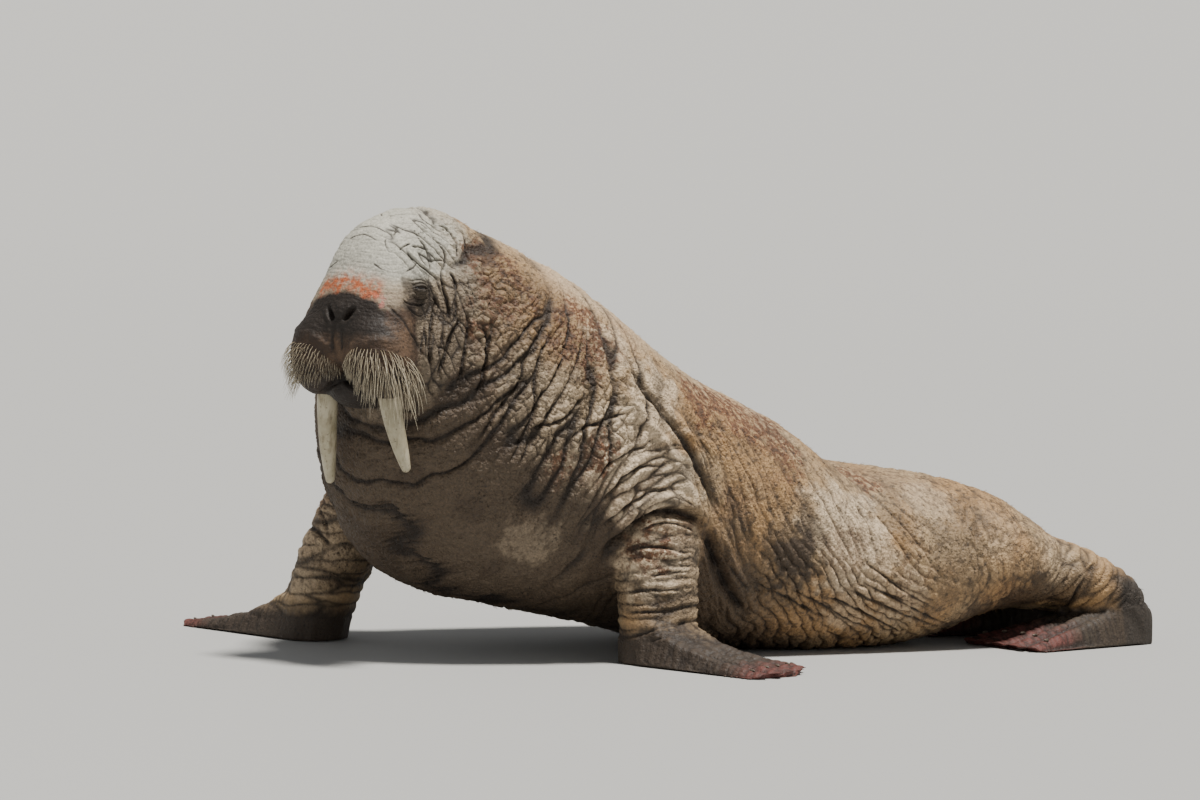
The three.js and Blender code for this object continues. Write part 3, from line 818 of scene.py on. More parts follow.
BODY_CREASES = [
    ([(491, 308), (493, 330), (488, 348), (486, 370), (480, 390), (474, 412)], 6, 11),  # neck
    ([(545, 322), (537, 348), (525, 360), (521, 380), (507, 400), (495, 415), (482, 435), (462, 452)],
     6.5, 13),
    ([(566, 320), (552, 337), (541, 355), (535, 390), (536, 410), (527, 430), (515, 455), (502, 468)], 6, 11),
    ([(605, 392), (582, 400), (570, 415), (552, 424), (536, 428), (530, 442), (522, 460), (515, 472)], 5, 10),
    ([(637, 411), (620, 415), (602, 422), (585, 428), (575, 437), (562, 452)], 5, 9),  # over the shoulder
    ([(656, 446), (635, 450), (615, 462), (603, 474), (592, 488)], 5, 9),
    ([(674, 466), (645, 467), (625, 477), (615, 490), (600, 503)], 5, 9),
    ([(688, 491), (657, 491), (640, 499), (622, 511), (608, 522), (596, 530)], 5.5, 10),
    ([(706, 530), (697, 520), (682, 513), (660, 513), (641, 521), (627, 532), (612, 545), (603, 556)],
     10, 30),  # above the arm
    ([(700, 536), (686, 527), (668, 523), (650, 526), (634, 536)], 4, 8),
    ([(616, 556), (630, 549), (645, 547), (665, 547), (682, 552), (697, 552)], 5, 9),  # forearm
    ([(645, 577), (660, 575), (672, 572), (697, 572)], 4, 6),
    ([(620, 594), (645, 590), (670, 590), (699, 585)], 4.5, 7),
    ([(618, 612), (647, 612), (670, 611), (690, 606), (706, 603)], 4.5, 7),
    ([(624, 634), (642, 634), (662, 626), (686, 622), (709, 620)], 4.5, 7),
    ([(640, 645), (665, 636), (700, 635), (730, 638)], 3.5, 5),
    ([(705, 524), (711, 542), (716, 560), (724, 582), (738, 606), (752, 622)], 13, 30),  # behind the arm
    ([(725, 560), (738, 578), (752, 594)], 5, 8),
    ([(620, 340), (637, 378), (659, 405), (684, 437), (697, 462), (711, 495), (719, 522)], 12, 20),
    ([(306, 522), (318, 533), (332, 547)], 6, 11),  # right arm
    ([(315, 500), (322, 516), (328, 534)], 5, 8),
    ([(313, 480), (320, 492), (330, 508)], 4, 6),
    ([(748, 580), (772, 591), (790, 600), (812, 612), (832, 621)], 5, 9),  # along the edge of the belly
    ([(779, 584), (802, 595), (825, 607), (847, 620), (866, 628), (882, 636)], 5, 9),
    ([(808, 594), (835, 600), (857, 610), (880, 622), (903, 632), (924, 640)], 5, 9),
    ([(838, 584), (860, 595), (880, 605), (903, 615), (923, 623), (942, 630)], 5, 8),
    ([(855, 577), (872, 587), (892, 597), (915, 610), (937, 622), (954, 626)], 5, 8),
    ([(860, 557), (880, 572), (900, 588), (922, 602), (945, 614)], 4.5, 7),
    ([(1096, 556), (1090, 572), (1078, 590), (1066, 607), (1052, 616)], 5, 8),  # heel
]
BODY_SWELLS = [  # the same for swellings, with a rise; the first lies along the shoulder's edge
    ([(606, 366), (626, 396), (652, 426), (676, 460), (692, 492), (701, 520), (705, 545)], 17, 13),
    ([(596, 552), (612, 530), (638, 506), (664, 497), (690, 504), (704, 520)], 15, 12),  # above the arm
    ([(722, 530), (730, 556), (742, 580), (760, 602)], 12, 10),  # behind the arm
    ([(286, 336), (300, 331), (318, 340), (333, 352)], 10, 4),  # top of the whisker pads
    ([(345, 349), (362, 343), (384, 340), (402, 347)], 10, 4),
]


def swell(skin, points, width, rise):
    near, distance, share = line_distance(skin, curve(points, len(points) * 5), width * 2.5)
    taper = ramp(share, 0, 0.25) * ramp(1 - share, 0, 0.25)
    skin.height[near] += rise * taper * bell(distance, width)


def carve_all(skin, tree):
    for points, width, rise in BODY_SWELLS:
        swell(skin, on_picture(tree, points), width / 1000, rise / 1000)
    for seed, (points, width, depth) in enumerate(HEAD_CREASES):
        places = on_picture(tree, points)
        for line in (places, mirrored(tree, places)):
            carve(skin, line, width / 1000, depth / 1000, seed=100 + seed, tone=1.15)
    for seed, (points, width, depth) in enumerate(BODY_CREASES):
        carve(skin, on_picture(tree, points), width / 1000, depth / 1000, seed=200 + seed)


# Face

LID_OPEN, LID_WIDE = 0.0046, 0.0190  # half the height and half the width of the opening between the lids
LID_THICK, LID_EDGE = 0.0026, 0.0030  # the lids over the eyeball, and how far the opening sinks through them
EYE_REACH = 0.075
ABOVE, BELOW = 1, -1
LID_FOLDS = [  # side, rise, distance from the opening, width, shift, and where it begins and ends to fade
    (ABOVE, -0.0036, 0.0075, 0.0017, 0, 0.018, 0.028),
    (ABOVE, -0.0028, 0.0165, 0.0022, 0.004, 0.018, 0.032),
    (ABOVE, 0.0034, 0.0120, 0.0035, 0, 0.018, 0.030),
    (BELOW, 0.0020, 0.0060, 0.0028, 0, 0.016, 0.026),
    (BELOW, -0.0032, 0.0100, 0.0016, 0, 0.014, 0.024),
    (BELOW, 0.0030, 0.0150, 0.0036, 0, 0.018, 0.030),
    (BELOW, -0.0034, 0.0215, 0.0020, -0.004, 0.018, 0.032),
]


def eye_axes(side):
    """Out of the eye, backwards along the lids' slit, and up."""
    out = unit(from_head([(0.86 * SIDES[side], -0.40, 0.18)])[0] - HEAD_AT)
    back = unit(np.cross((0, 0, 1), out) * SIDES[side])
    back = back - 0.06 * np.array([0, 0, 1])
    return out, back, unit(np.cross(out, back) * SIDES[side])


def shape_eye(skin, side):
    """Draws the skin over an eyeball, with an almond opening that lets it show."""
    out, back, up = eye_axes(side)
    offset = skin.co - eye_middle(side)
    near = (lengths(offset) < EYE_REACH).nonzero()[0]
    u, v, w = (offset[near] @ axis for axis in (back, up, out))
    radius = np.sqrt(u * u + v * v)
    facing = w > 0
    cover = EYE_RADIUS + LID_THICK
    ball = np.sqrt(np.maximum(cover ** 2 - radius ** 2, 0))
    lifted = np.where(radius < cover, np.maximum(ball - w, 0), 0) * ramp(0.030 - radius, 0, 0.010)
    skin.co[near] += np.where(facing, lifted, 0)[:, None] * out
    open_to = np.where(abs(u) < LID_WIDE, LID_OPEN * (1 - np.minimum(abs(u) / LID_WIDE, 1) ** 2.2), 0)
    gap = np.hypot(np.maximum(abs(v) - open_to, 0), np.maximum(abs(u) - LID_WIDE, 0))
    inside = facing & (abs(v) < open_to) & (abs(u) < LID_WIDE)
    depth = np.minimum(open_to - abs(v), 0.0015) / 0.0015
    sink = np.where(inside, (LID_THICK + LID_EDGE) * np.clip(depth, 0, 1), 0)
    rim = np.where(facing & ~inside, 0.0012 * bell(gap - 0.0020, 0.0018), 0)
    fold = 0
    for way, rise, at, width, shift, begins, ends in LID_FOLDS:
        mine = (v > 0) == (way == ABOVE)
        fading = 1 - ramp(abs(u + shift), begins, ends)
        fold = fold + rise * mine * bell(way * v - open_to - at, width) * fading
    skin.co[near] += (rim - sink + facing * fold)[:, None] * out
    lids = np.where(facing, bell(np.maximum(gap - 0.003, 0), 0.012), 0)
    skin.masks["lids"][near] = np.where(inside, 1, np.maximum(skin.masks["lids"][near], lids))


def head_line(tree, points, side=1):
    """Places on the front of the head: points give X and Z in the head frame."""
    places = []
    for x, z in points:
        start = from_head([(x * side, -0.3, z)])[0]
        way = HEAD_AXES[1]
        hit = tree.ray_cast(Vector(start), Vector(way))[0]
        places.append(hit if hit is not None else tree.find_nearest(Vector(start + way * 0.35))[0])
    return np.array(places)


NOSTRIL = [(0.044, 0.026), (0.036, 0.010), (0.024, -0.004), (0.012, -0.016)]
CLEFT = [(0.011, -0.022), (0.013, -0.045), (0.016, -0.07), (0.013, -0.10)]
LIP = [
    (-0.090, -0.205), (-0.055, -0.190), (-0.022, -0.170), (0, -0.160),
    (0.022, -0.170), (0.055, -0.190), (0.090, -0.205),
]
RIDGE = [(0, 0.02), (0, -0.03), (0, -0.07), (0, -0.11)]  # between the two clefts below the nose


def shape_nose(skin, tree):
    for side in SIDES.values():
        nostril = head_line(tree, NOSTRIL, side)
        carve(skin, nostril, 0.016, 0.005, lip=0.1, ends=0.4, wobble=0.1)
        carve(skin, nostril, 0.0058, 0.019, lip=0.25, ends=0.3, wobble=0.1)
        carve(skin, head_line(tree, CLEFT, side), 0.0065, 0.0040, lip=0.3, seed=3, wobble=0.5)
    carve(skin, head_line(tree, LIP), 0.0060, 0.014, lip=0.2, ends=0.1, wobble=0.1)
    near, distance, share = line_distance(skin, curve(head_line(tree, RIDGE), 12), 0.03)
    skin.height[near] += 0.0035 * bell(distance, 0.009) * ramp(1 - share, 0, 0.15)


# Markings and painted shade: masks from 0 to 1 for the skin and for the hairs on it

PALE_SPOTS = [  # points of the picture, radii in metres and strengths
    ((632, 452), 0.18, 0.9), ((655, 400), 0.13, 0.75), ((672, 482), 0.12, 1.0), ((640, 490), 0.12, 1.0),
    ((850, 530), 0.17, 0.8), ((875, 565), 0.11, 0.55), ((930, 500), 0.10, 0.35), ((610, 340), 0.10, 0.6),
    ((1000, 530), 0.10, 0.15), ((905, 600), 0.10, 0.4), ((660, 565), 0.11, 0.9), ((1060, 565), 0.08, 0.25),
    ((850, 610), 0.09, 0.4), ((550, 390), 0.10, 0.35), ((300, 570), 0.09, 0.4),
]
# dark patches of the skin; those low behind the arm and under the rump are painted shadow
DARK_SPOTS = [
    ((797, 556), 0.10, 1.0), ((775, 545), 0.06, 0.7), ((1020, 600), 0.12, 0.8), ((590, 455), 0.05, 0.6),
    ((545, 300), 0.05, 0.5), ((487, 262), 0.04, 0.6), ((466, 258), 0.02, 0.8), ((530, 262), 0.04, 0.5),
    ((960, 555), 0.13, 0.4), ((975, 515), 0.09, 0.35), ((665, 620), 0.10, 0.6), ((668, 650), 0.09, 0.7),
    ((965, 620), 0.10, 0.8), ((1060, 590), 0.08, 0.6), ((500, 330), 0.12, 0.35), ((520, 380), 0.14, 0.35),
    ((500, 280), 0.14, 0.35), ((560, 335), 0.12, 0.3), ((722, 590), 0.08, 0.6), ((740, 635), 0.09, 0.8),
]
RUST_SPOTS = [  # points of the picture and radii in metres
    ((490, 262), 0.10), ((512, 290), 0.10), ((582, 332), 0.13), ((590, 350), 0.10), ((760, 425), 0.16),
    ((730, 410), 0.12), ((600, 455), 0.07), ((860, 480), 0.08), ((700, 400), 0.09), ((560, 470), 0.06),
    ((648, 548), 0.08), ((480, 318), 0.06), ((700, 395), 0.07),
]


def blot(values, co, middle, radius, strength=1.0, seed=0, ragged=0.45):
    """Raises values around a place, as far as a ragged edge."""
    distance = lengths(co - middle) / radius
    near = (distance < 1.5).nonzero()[0]
    edge = noise(co[near] / (radius * 0.45), seed) + 0.5 * noise(co[near] / (radius * 0.15), seed + 1)
    inside = 1 - ramp(distance[near] + ragged * edge, 0.6, 1.05)
    values[near] = np.maximum(values[near], strength * inside)


def spotted(values, skin, tree, spots, seed):
    """Raises values around points of the picture and around the like places of the other flank."""
    for point, radius, *strength in spots:
        for place, own_seed in both_flanks(tree, point, seed):
            blot(values, skin.co, place, radius, *strength, seed=own_seed)


def markings(skin, tree):
    broad = noise(skin.co / 0.13, 81)
    edge = noise(skin.co / 0.035, 82) + 0.6 * noise(skin.co / 0.012, 83)
    mark_pale(skin, tree, broad, edge)
    mark_muzzle(skin, edge)
    mark_dark(skin, tree, broad, edge)
    mark_limbs(skin, broad, edge)
    mark_rust(skin, tree, broad)
    mark_eyes(skin)
    arm = skin.share("forearm")
    mottle = skin.share(*TRUNK) * (1 - 0.7 * ridge_of(skin, broad)) + arm
    mottle = np.clip(mottle + skin.share("head") * ramp(in_head(skin.co)[:, 1], 0.15, 0.25), 0, 1)
    skin.masks["mottle"] = mottle * (1 - 0.8 * skin.masks["crown"]) * (1 - 0.45 * skin.masks["pale"])


def ridge_of(skin, broad):
    """The upper back."""
    return skin.share(*TRUNK) * ramp(skin.above + 0.05 * broad, 0.24, 0.38) * (1 - ramp(skin.along, 2.0, 2.2))


def front_of(y, edge):
    """The front of the muzzle, from places in the head frame."""
    return 1 - ramp(y + 0.006 * edge, 0.085, 0.125)


def mark_pale(skin, tree, broad, edge):
    """The pale crown, and the pale back, arms and patches of the flanks."""
    x, y, z = in_head(skin.co).T
    crown = skin.share(*FACE) + skin.share(*TRUNK) * (y < 0.45)
    crown *= ramp(z + 0.008 * edge - 0.15 * np.maximum(y - 0.12, 0), 0.055, 0.105)
    crown *= 1 - ramp(y - 0.55 * (z - 0.10) + 0.04 * broad + 0.03 * edge, 0.15, 0.32)
    skin.masks["crown"] = np.clip(crown, 0, 1)
    pale = 0.6 * ridge_of(skin, broad) + 0.45 * skin.share("forearm") * ramp(skin.co[:, 2], 0.16, 0.26)
    spotted(pale, skin, tree, PALE_SPOTS, 87)
    skin.masks["pale"] = pale


def mark_muzzle(skin, edge):
    """The black nose, the dark whisker pads, the mouth and the lower jaw painted dark as shade over their
    dark lips, and the orange and pink stains above them.
    """
    masks = skin.masks
    x, y, z = in_head(skin.co).T
    face = skin.share(*FACE)
    front = front_of(y, edge)
    nose_edge = z + 0.005 * edge + 0.22 * abs(x)
    narrow = 1 - ramp(abs(x) - 0.7 * np.maximum(0.06 - z, 0) + 0.006 * edge, 0.072, 0.092)
    nose = face * front * narrow * (1 - ramp(nose_edge, 0.052, 0.068))
    masks["nose"] = nose * ramp(z + 0.008 * edge, -0.075, -0.035)
    pad = face * (1 - ramp(y + 0.010 * edge, 0.105, 0.140))
    masks["pad"] = pad * (1 - ramp(z + 0.008 * edge - 0.25 * (y - 0.05), 0.010, 0.045))
    band = bell(nose_edge - 0.079, 0.027) * (1 - ramp(abs(x), 0.080, 0.105)) * (1 - ramp(y, 0.09, 0.12))
    masks["orange"] = np.clip(1.4 * band * (0.9 + 0.8 * edge), 0, 1) * face
    masks["pink"] = face * bell(np.hypot(x - 0.092, z - 0.032), 0.020) * front
    # painted shade: the mouth's slit and the skin below the lips, over the lips' own dark brown
    slit = np.maximum(bell(np.hypot(x, z + 0.160), 0.030), 1 - ramp(z + 0.004 * edge, -0.235, -0.195))
    below = 0.75 * (1 - ramp(z + 0.006 * edge, -0.155, -0.115))
    masks["mouth"] = np.clip(face * front * np.maximum(slit, below) + 0.9 * skin.share("jaw"), 0, 1)


def mark_dark(skin, tree, broad, edge):
    """The throat and the belly painted dark as shade beneath the body, the dark cheeks, the dark spots (some
    of them painted shadow under the arm and the rump), and the grey of the chest.
    """
    masks = skin.masks
    along, above = skin.along, skin.above
    y, z = in_head(skin.co).T[1:]
    trunk, head, arm = skin.share(*TRUNK), skin.share("head"), skin.share("forearm")
    # painted shade: the throat and the belly are darker beneath the body
    throat = trunk * ramp(-above + 0.05 * broad, 0.02, 0.16) * (1 - ramp(along, 1.2, 1.5))
    belly = trunk * ramp(-above + 0.03 * broad, 0.20, 0.27) * ramp(along, 1.2, 1.5)
    cheek = head * (1 - ramp(z + 0.02 * edge, 0.03, 0.10)) * ramp(y, 0.08, 0.16)
    umber_and_shade = 0.9 * throat + 0.8 * belly + 0.30 * arm + 0.40 * ramp(broad, 0.2, 0.6) * trunk
    umber_and_shade = np.clip(umber_and_shade + skin.share("jaw") + 0.6 * cheek, 0, 1) * (1 - 0.8 * np.clip(masks["pale"], 0, 1))
    spotted(umber_and_shade, skin, tree, DARK_SPOTS, 89)
    masks["umber_and_shade"] = umber_and_shade * (1 - 0.9 * masks["crown"])
    forward = 1 - ramp(along + 0.4 * np.maximum(above, 0), 0.6, 1.0)
    ash = 0.8 * trunk * forward * ramp(-above + 0.08 * broad, -0.16, 0.06)
    masks["ash"] = np.clip(ash + skin.share(*FACE) * (1 - masks["crown"]) + 0.3 * arm, 0, 1)


def mark_limbs(skin, broad, edge):
    """The dark hands and heels, and where the skin is rough."""
    masks = skin.masks
    hand, hind = skin.share("fore_flipper"), skin.share("hind_flipper")
    y, z = skin.co[:, 1], skin.co[:, 2]
    low_leg = 1 - ramp(z + 0.02 * broad + 0.008 * edge, 0.17, 0.24)
    behind = ramp(y + 0.02 * broad, 1.13, 1.22)
    masks["hand"] = np.clip(hand, 0, 1) * ramp(-z + 0.012 * edge, -0.13, -0.06)
    masks["heel"] = np.clip(np.maximum(hind * 0.95, (hind + skin.share("ankle")) * low_leg * behind), 0, 1)
    front = front_of(in_head(skin.co)[:, 1], edge)
    rough = 1 - 0.75 * masks["crown"] - 0.6 * skin.share(*FACE) * front - 0.5 * (hand + hind)
    masks["rough"] = np.clip(rough, 0.1, 1)


def mark_rust(skin, tree, broad):
    rust = 0.30 * skin.share(*TRUNK) * ramp(noise(skin.co / 0.18, 84), 0.1, 0.5)
    rust += 0.8 * skin.share("forearm") * ramp(skin.co[:, 2] + 0.03 * broad, 0.30, 0.40)
    spotted(rust, skin, tree, RUST_SPOTS, 85)
    skin.masks["rust"] = rust


def mark_eyes(skin):
    """The dark skin around the eyes, which joins the nose's black."""
    masks = skin.masks
    dark_eye = np.zeros(len(skin.co))
    for side in SIDES:
        out = from_head([(0.010 * SIDES[side], -0.010, -0.016)])[0] - HEAD_AT
        blot(dark_eye, skin.co, eye_middle(side) + out, 0.064, 0.72, 88)
    masks["orange"] *= 1 - dark_eye
    masks["nose"] = np.clip(np.max([masks["nose"], 0.9 * masks["lids"], dark_eye], 0), 0, 1)


def make_skin(tree, owner):
    skin = base_skin(tree, owner)
    fine = (skin.share(*FACE) > 0.5) & (in_head(skin.co)[:, 1] < FINE_BACK)
    fine |= (skin.share("head", "neck", "chest", "forearm") > 0.5) & (skin.co[:, 2] > FINE_ABOVE)
    skin.refine(fine)
    skin.refine(to_eyes(skin.co) < FINE_EYE)
    skin.co = smoothed(skin.co, skin.faces, LAST_ROUNDS, np.ones(len(skin.co)))
    skin.ready()
    wrinkle_trunk(skin)
    wrinkle_limbs(skin)
    wrinkle_flippers(skin)
    wrinkle_head(skin)
    carve_all(skin, tree)
    shape_nose(skin, tree)
    from_eye = to_eyes(skin.co)
    skin.height *= ramp(from_eye, EYE_RADIUS, 0.034)
    skin.crease *= ramp(from_eye, 0.018, 0.030)
    # painted shade: the skin's colour is darker where the wrinkles lie low
    skin.masks["relief_shade"] = np.clip(0.5 + skin.height / 0.016, 0, 1)
    skin.co = skin.co + skin.normals * skin.height[:, None]
    skin.masks["lids"] = np.zeros(len(skin.co))
    for side in SIDES:
        shape_eye(skin, side)
    markings(skin, tree)
    skin.co[:, 2] = np.maximum(skin.co[:, 2], GROUND)
    return skin


# Materials

class Surface:
    """The nodes of one material. Methods take sockets or values, and give back the socket they make."""

    def __init__(self, name):
        self.material = bpy.data.materials.new(name)
        self.material.use_nodes = True
        self.tree = self.material.node_tree
        self.shader = self.tree.nodes["Principled BSDF"]

    def node(self, kind):
        return self.tree.nodes.new("ShaderNode" + kind)

    def put(self, value, socket):
        if isinstance(value, bpy.types.NodeSocket):
            self.tree.links.new(value, socket)
        else:
            socket.default_value = value

    def give(self, name, value):
        """Sets one of the shader's own inputs."""
        self.put(value, self.shader.inputs[name])

    def attribute(self, name):
        node = self.node("Attribute")
        node.attribute_name = name
        return node.outputs["Fac"]

    def mixed(self, factor, low, high):
        """low where factor is 0 and high where it is 1."""
        node = self.node("Mix")
        node.data_type = "RGBA"
        self.put(factor, node.inputs[0])
        for value, socket in ((low, node.inputs[6]), (high, node.inputs[7])):
            self.put((*value, 1) if isinstance(value, tuple) else value, socket)
        return node.outputs[2]

    def scaled(self, colour, factor):
        """A colour made lighter or darker by a factor."""
        node = self.node("VectorMath")
        node.operation = "SCALE"
        self.put(colour, node.inputs[0])
        self.put(factor, node.inputs["Scale"])
        return node.outputs[0]

    def times(self, first, second, clamp=False):
        node = self.node("Math")
        node.operation = "MULTIPLY"
        node.use_clamp = clamp
        self.put(first, node.inputs[0])
        self.put(second, node.inputs[1])
        return node.outputs[0]

    def spread(self, value, low, high, bottom=0.0, top=1.0):
        """Smoothly from bottom where value is low to top where it is high."""
        node = self.node("MapRange")
        node.interpolation_type = "SMOOTHSTEP"
        self.put(value, node.inputs["Value"])
        for name, limit in (("From Min", low), ("From Max", high), ("To Min", bottom), ("To Max", top)):
            self.put(limit, node.inputs[name])
        return node.outputs[0]

    def place(self, seed, stretch=(1, 1, 1)):
        """The object's own coordinates, moved by a seed so that patterns differ."""
        node = self.node("Mapping")
        self.put((seed, seed * 0.7, -seed), node.inputs["Location"])
        self.put(stretch, node.inputs["Scale"])
        self.put(self.node("TexCoord").outputs["Object"], node.inputs["Vector"])
        return node.outputs[0]

    def pattern(self, scale, detail, seed=0.0, roughness=0.5, stretch=(1, 1, 1)):
        """Noise from 0 to 1, with scale waves to the metre."""
        node = self.node("TexNoise")
        self.put(self.place(seed, stretch), node.inputs["Vector"])
        for name, value in (("Scale", scale), ("Detail", detail), ("Roughness", roughness)):
            self.put(value, node.inputs[name])
        return node.outputs[0]

    def grains(self, scale, seed=0.0):
        """Distances to scattered points, with scale of them to the metre."""
        node = self.node("TexVoronoi")
        self.put(self.place(seed), node.inputs["Vector"])
        self.put(scale, node.inputs["Scale"])
        return node.outputs["Distance"]

    def bumped(self, *heights):
        """Bumps on the shader: each height is a socket and how many metres it rises from 0 to 1."""
        normal = None
        for height, rise in heights:
            node = self.node("Bump")
            self.put(1, node.inputs["Strength"])
            self.put(rise, node.inputs["Distance"])
            self.put(height, node.inputs["Height"])
            if normal:
                self.put(normal, node.inputs["Normal"])
            normal = node.outputs[0]
        self.give("Normal", normal)


CROWN = (0.40, 0.385, 0.325)
SAND = (0.59, 0.465, 0.320)
TAN = (0.36, 0.255, 0.145)
OCHRE = (0.33, 0.200, 0.092)
ASH = (0.26, 0.207, 0.145)
# dark brown of the skin, also used as painted shade under the body and in the wrinkles' low places
UMBER_AND_SHADE = (0.065, 0.045, 0.029)
# near black: the skin's dark specks, and painted shade in the creases and the mouth
DEEP = (0.018, 0.013, 0.010)
RUST = (0.145, 0.062, 0.028)
ORANGE = (0.37, 0.100, 0.038)
PINK = (0.50, 0.13, 0.11)
NOSE = (0.017, 0.012, 0.009)
PAD = (0.040, 0.024, 0.015)
BROWN = (0.100, 0.060, 0.035)
HAND = (0.043, 0.031, 0.022)
TOES = (0.108, 0.036, 0.029)
HEEL = (0.032, 0.025, 0.019)
STRAW, HORN = (0.55, 0.49, 0.36), (0.17, 0.125, 0.07)
IVORY, OLD_IVORY = (0.47, 0.42, 0.30), (0.33, 0.29, 0.19)
STREAK, STAIN = (0.16, 0.125, 0.065), (0.09, 0.07, 0.04)
IRIS, DARK_IRIS = (0.030, 0.017, 0.010), (0.012, 0.008, 0.006)
CLAW, DARK_CLAW = (0.13, 0.10, 0.070), (0.045, 0.034, 0.025)


def hide_material(name, lightness):
    """The skin's markings and its painted shade, each over those before it. The hairs carry them too, a
    little lighter.
    """
    hide = Surface(name)
    mask, spread = hide.attribute, hide.spread
    middle = hide.pattern(14, 5, 7, 0.6)
    small = hide.pattern(55, 5, 5, 0.65)
    fine = hide.pattern(170, 4, 5, 0.6)
    stained = hide.times(spread(small, 0.40, 0.52), mask("rust"))
    patches = spread(hide.pattern(9, 2, 9), 0.52, 0.66, 0, 0.7)
    colour = OCHRE
    for amount, tint in (
        (spread(hide.pattern(3.2, 4, 3), 0.40, 0.60), TAN),
        (mask("ash"), ASH),
        (mask("pale"), SAND),
        # painted shade: the low places of the wrinkles are darker
        (spread(mask("relief_shade"), 0.55, 0.05, 0, 0.62), UMBER_AND_SHADE),
        (mask("crown"), CROWN),
        (hide.times(stained, spread(middle, 0.34, 0.48), clamp=True), RUST),
        # the skin's dark brown, and painted shade under the throat and the belly, with painted shadow in some
        # spots
        (mask("umber_and_shade"), UMBER_AND_SHADE),
        (mask("hand"), HAND),
        (mask("heel"), HEEL),
        (mask("toes"), TOES),
        (mask("pad"), hide.mixed(spread(middle, 0.42, 0.68), PAD, BROWN)),
        (hide.times(spread(small, 0.34, 0.60), mask("orange"), clamp=True), ORANGE),
        (hide.times(spread(small, 0.5, 0.62), mask("pink")), PINK),
        (mask("nose"), NOSE),
        # painted shade in the mouth and over the lower jaw, with its dark lips
        (mask("mouth"), DEEP),
        (hide.times(spread(small, 0.47, 0.66, 0, 0.8), mask("mottle")), UMBER_AND_SHADE),
        # painted shade in the creases
        (spread(mask("crease"), 0.15, 0.80, 0, 0.88), DEEP),
        (hide.times(spread(hide.grains(85, 4), 0.30, 0.16), patches), DEEP),
    ):
        colour = hide.mixed(amount, colour, tint)
    colour = hide.scaled(colour, spread(fine, 0.25, 0.75, 0.72 * lightness, 1.28 * lightness))
    hide.give("Base Color", colour)
    hide.give("Roughness", spread(fine, 0.3, 0.7, 0.55, 0.80))
    hide.give("Specular IOR Level", 0.35)
    pebbles = hide.times(spread(hide.grains(95, 2), 0.0, 0.7), mask("rough"))
    beads = hide.times(spread(hide.grains(190), 0.0, 0.6), mask("rough"))
    hide.bumped((pebbles, -0.0022), (beads, -0.0013), (fine, 0.0007), (hide.pattern(420, 2), 0.0004))
    return hide.material


def whisker_material():
    whisker = Surface("whisker")
    colour = whisker.mixed(whisker.attribute("tip"), HORN, STRAW)
    colour = whisker.scaled(colour, whisker.spread(whisker.pattern(120, 3, 2), 0.3, 0.7, 0.75, 1.15))
    whisker.give("Base Color", colour)
    whisker.give("Roughness", 0.42)
    whisker.bumped((whisker.pattern(500, 2, 3), 0.0003))
    return whisker.material


def ivory_material():
    ivory = Surface("ivory")
    streaks = ivory.pattern(70, 4, 4, 0.6, (1, 1, 0.06))
    colour = ivory.mixed(ivory.spread(ivory.pattern(16, 4, 2, 0.6), 0.35, 0.65), IVORY, OLD_IVORY)
    colour = ivory.mixed(ivory.spread(streaks, 0.50, 0.72, 0, 0.7), colour, STREAK)
    colour = ivory.mixed(ivory.spread(ivory.pattern(130, 3, 6), 0.60, 0.72, 0, 0.6), colour, STAIN)
    ivory.give("Base Color", colour)
    ivory.give("Roughness", ivory.spread(streaks, 0.3, 0.7, 0.28, 0.5))
    ivory.bumped((streaks, 0.0016), (ivory.pattern(220, 3, 5), 0.0003))
    return ivory.material


def eye_material():
    eye = Surface("eyeball")
    eye.give("Base Color", eye.mixed(eye.spread(eye.pattern(140, 3, 2), 0.35, 0.65), DARK_IRIS, IRIS))
    eye.give("Roughness", 0.15)
    eye.give("Coat Weight", 0.4)
    eye.give("Coat Roughness", 0.05)
    return eye.material


def claw_material():
    claw = Surface("claw")
    claw.give("Base Color", claw.mixed(claw.spread(claw.pattern(150, 4, 3), 0.35, 0.65), DARK_CLAW, CLAW))
    claw.give("Roughness", claw.spread(claw.pattern(220, 3, 4), 0.3, 0.7, 0.35, 0.6))
    claw.bumped((claw.pattern(260, 3, 5), 0.0004))
    return claw.material


# Whiskers: bristles in rows on each pad, short beside the cleft and long towards the cheek

PAD_MIDDLE = (0.078, 0.055, -0.098)  # in the head frame, on the left
PAD_ROWS, PAD_COLUMNS = 11, 25
PAD_TURN, PAD_SWEEP = -58, 150  # degrees from the front at the cleft, and from there to the cheek
PAD_TOP = -14  # degrees above the pad's middle
PAD_LOWEST = {1: -52, -1: -44}
PAD_CORE = 0.055  # nearer to the pad's middle than this lies the mouth
CLEFT_HALF = 0.012
LOWER_LIP, LIP_HALF = -0.150, 0.050  # no bristle grows below and between these
BRISTLE_STEPS, BRISTLE_SIDES = 8, 5
BRISTLE_RADIUS = {1: 0.0013, -1: 0.00104}
SHORTEST, LONGEST = 0.018, {1: 0.090, -1: 0.040}
ROOT_DEPTH, CLEARANCE = 0.004, 0.0022
DOWN = np.array([0, 0, -1.0])


def bristle_ray(side, across, down):
    """The way out of a pad's middle to the root at two shares of the pad."""
    turn = math.radians(PAD_TURN + PAD_SWEEP * across)
    top = PAD_TOP + 30 * ramp(across, 0.0, 0.4) - 14 * ramp(across, 0.6, 1.0)
    rise = math.radians(top + (PAD_LOWEST[side] - top) * down)
    way = np.array([side * math.sin(turn) * math.cos(rise), -math.cos(turn) * math.cos(rise), math.sin(rise)])
    return way @ HEAD_AXES


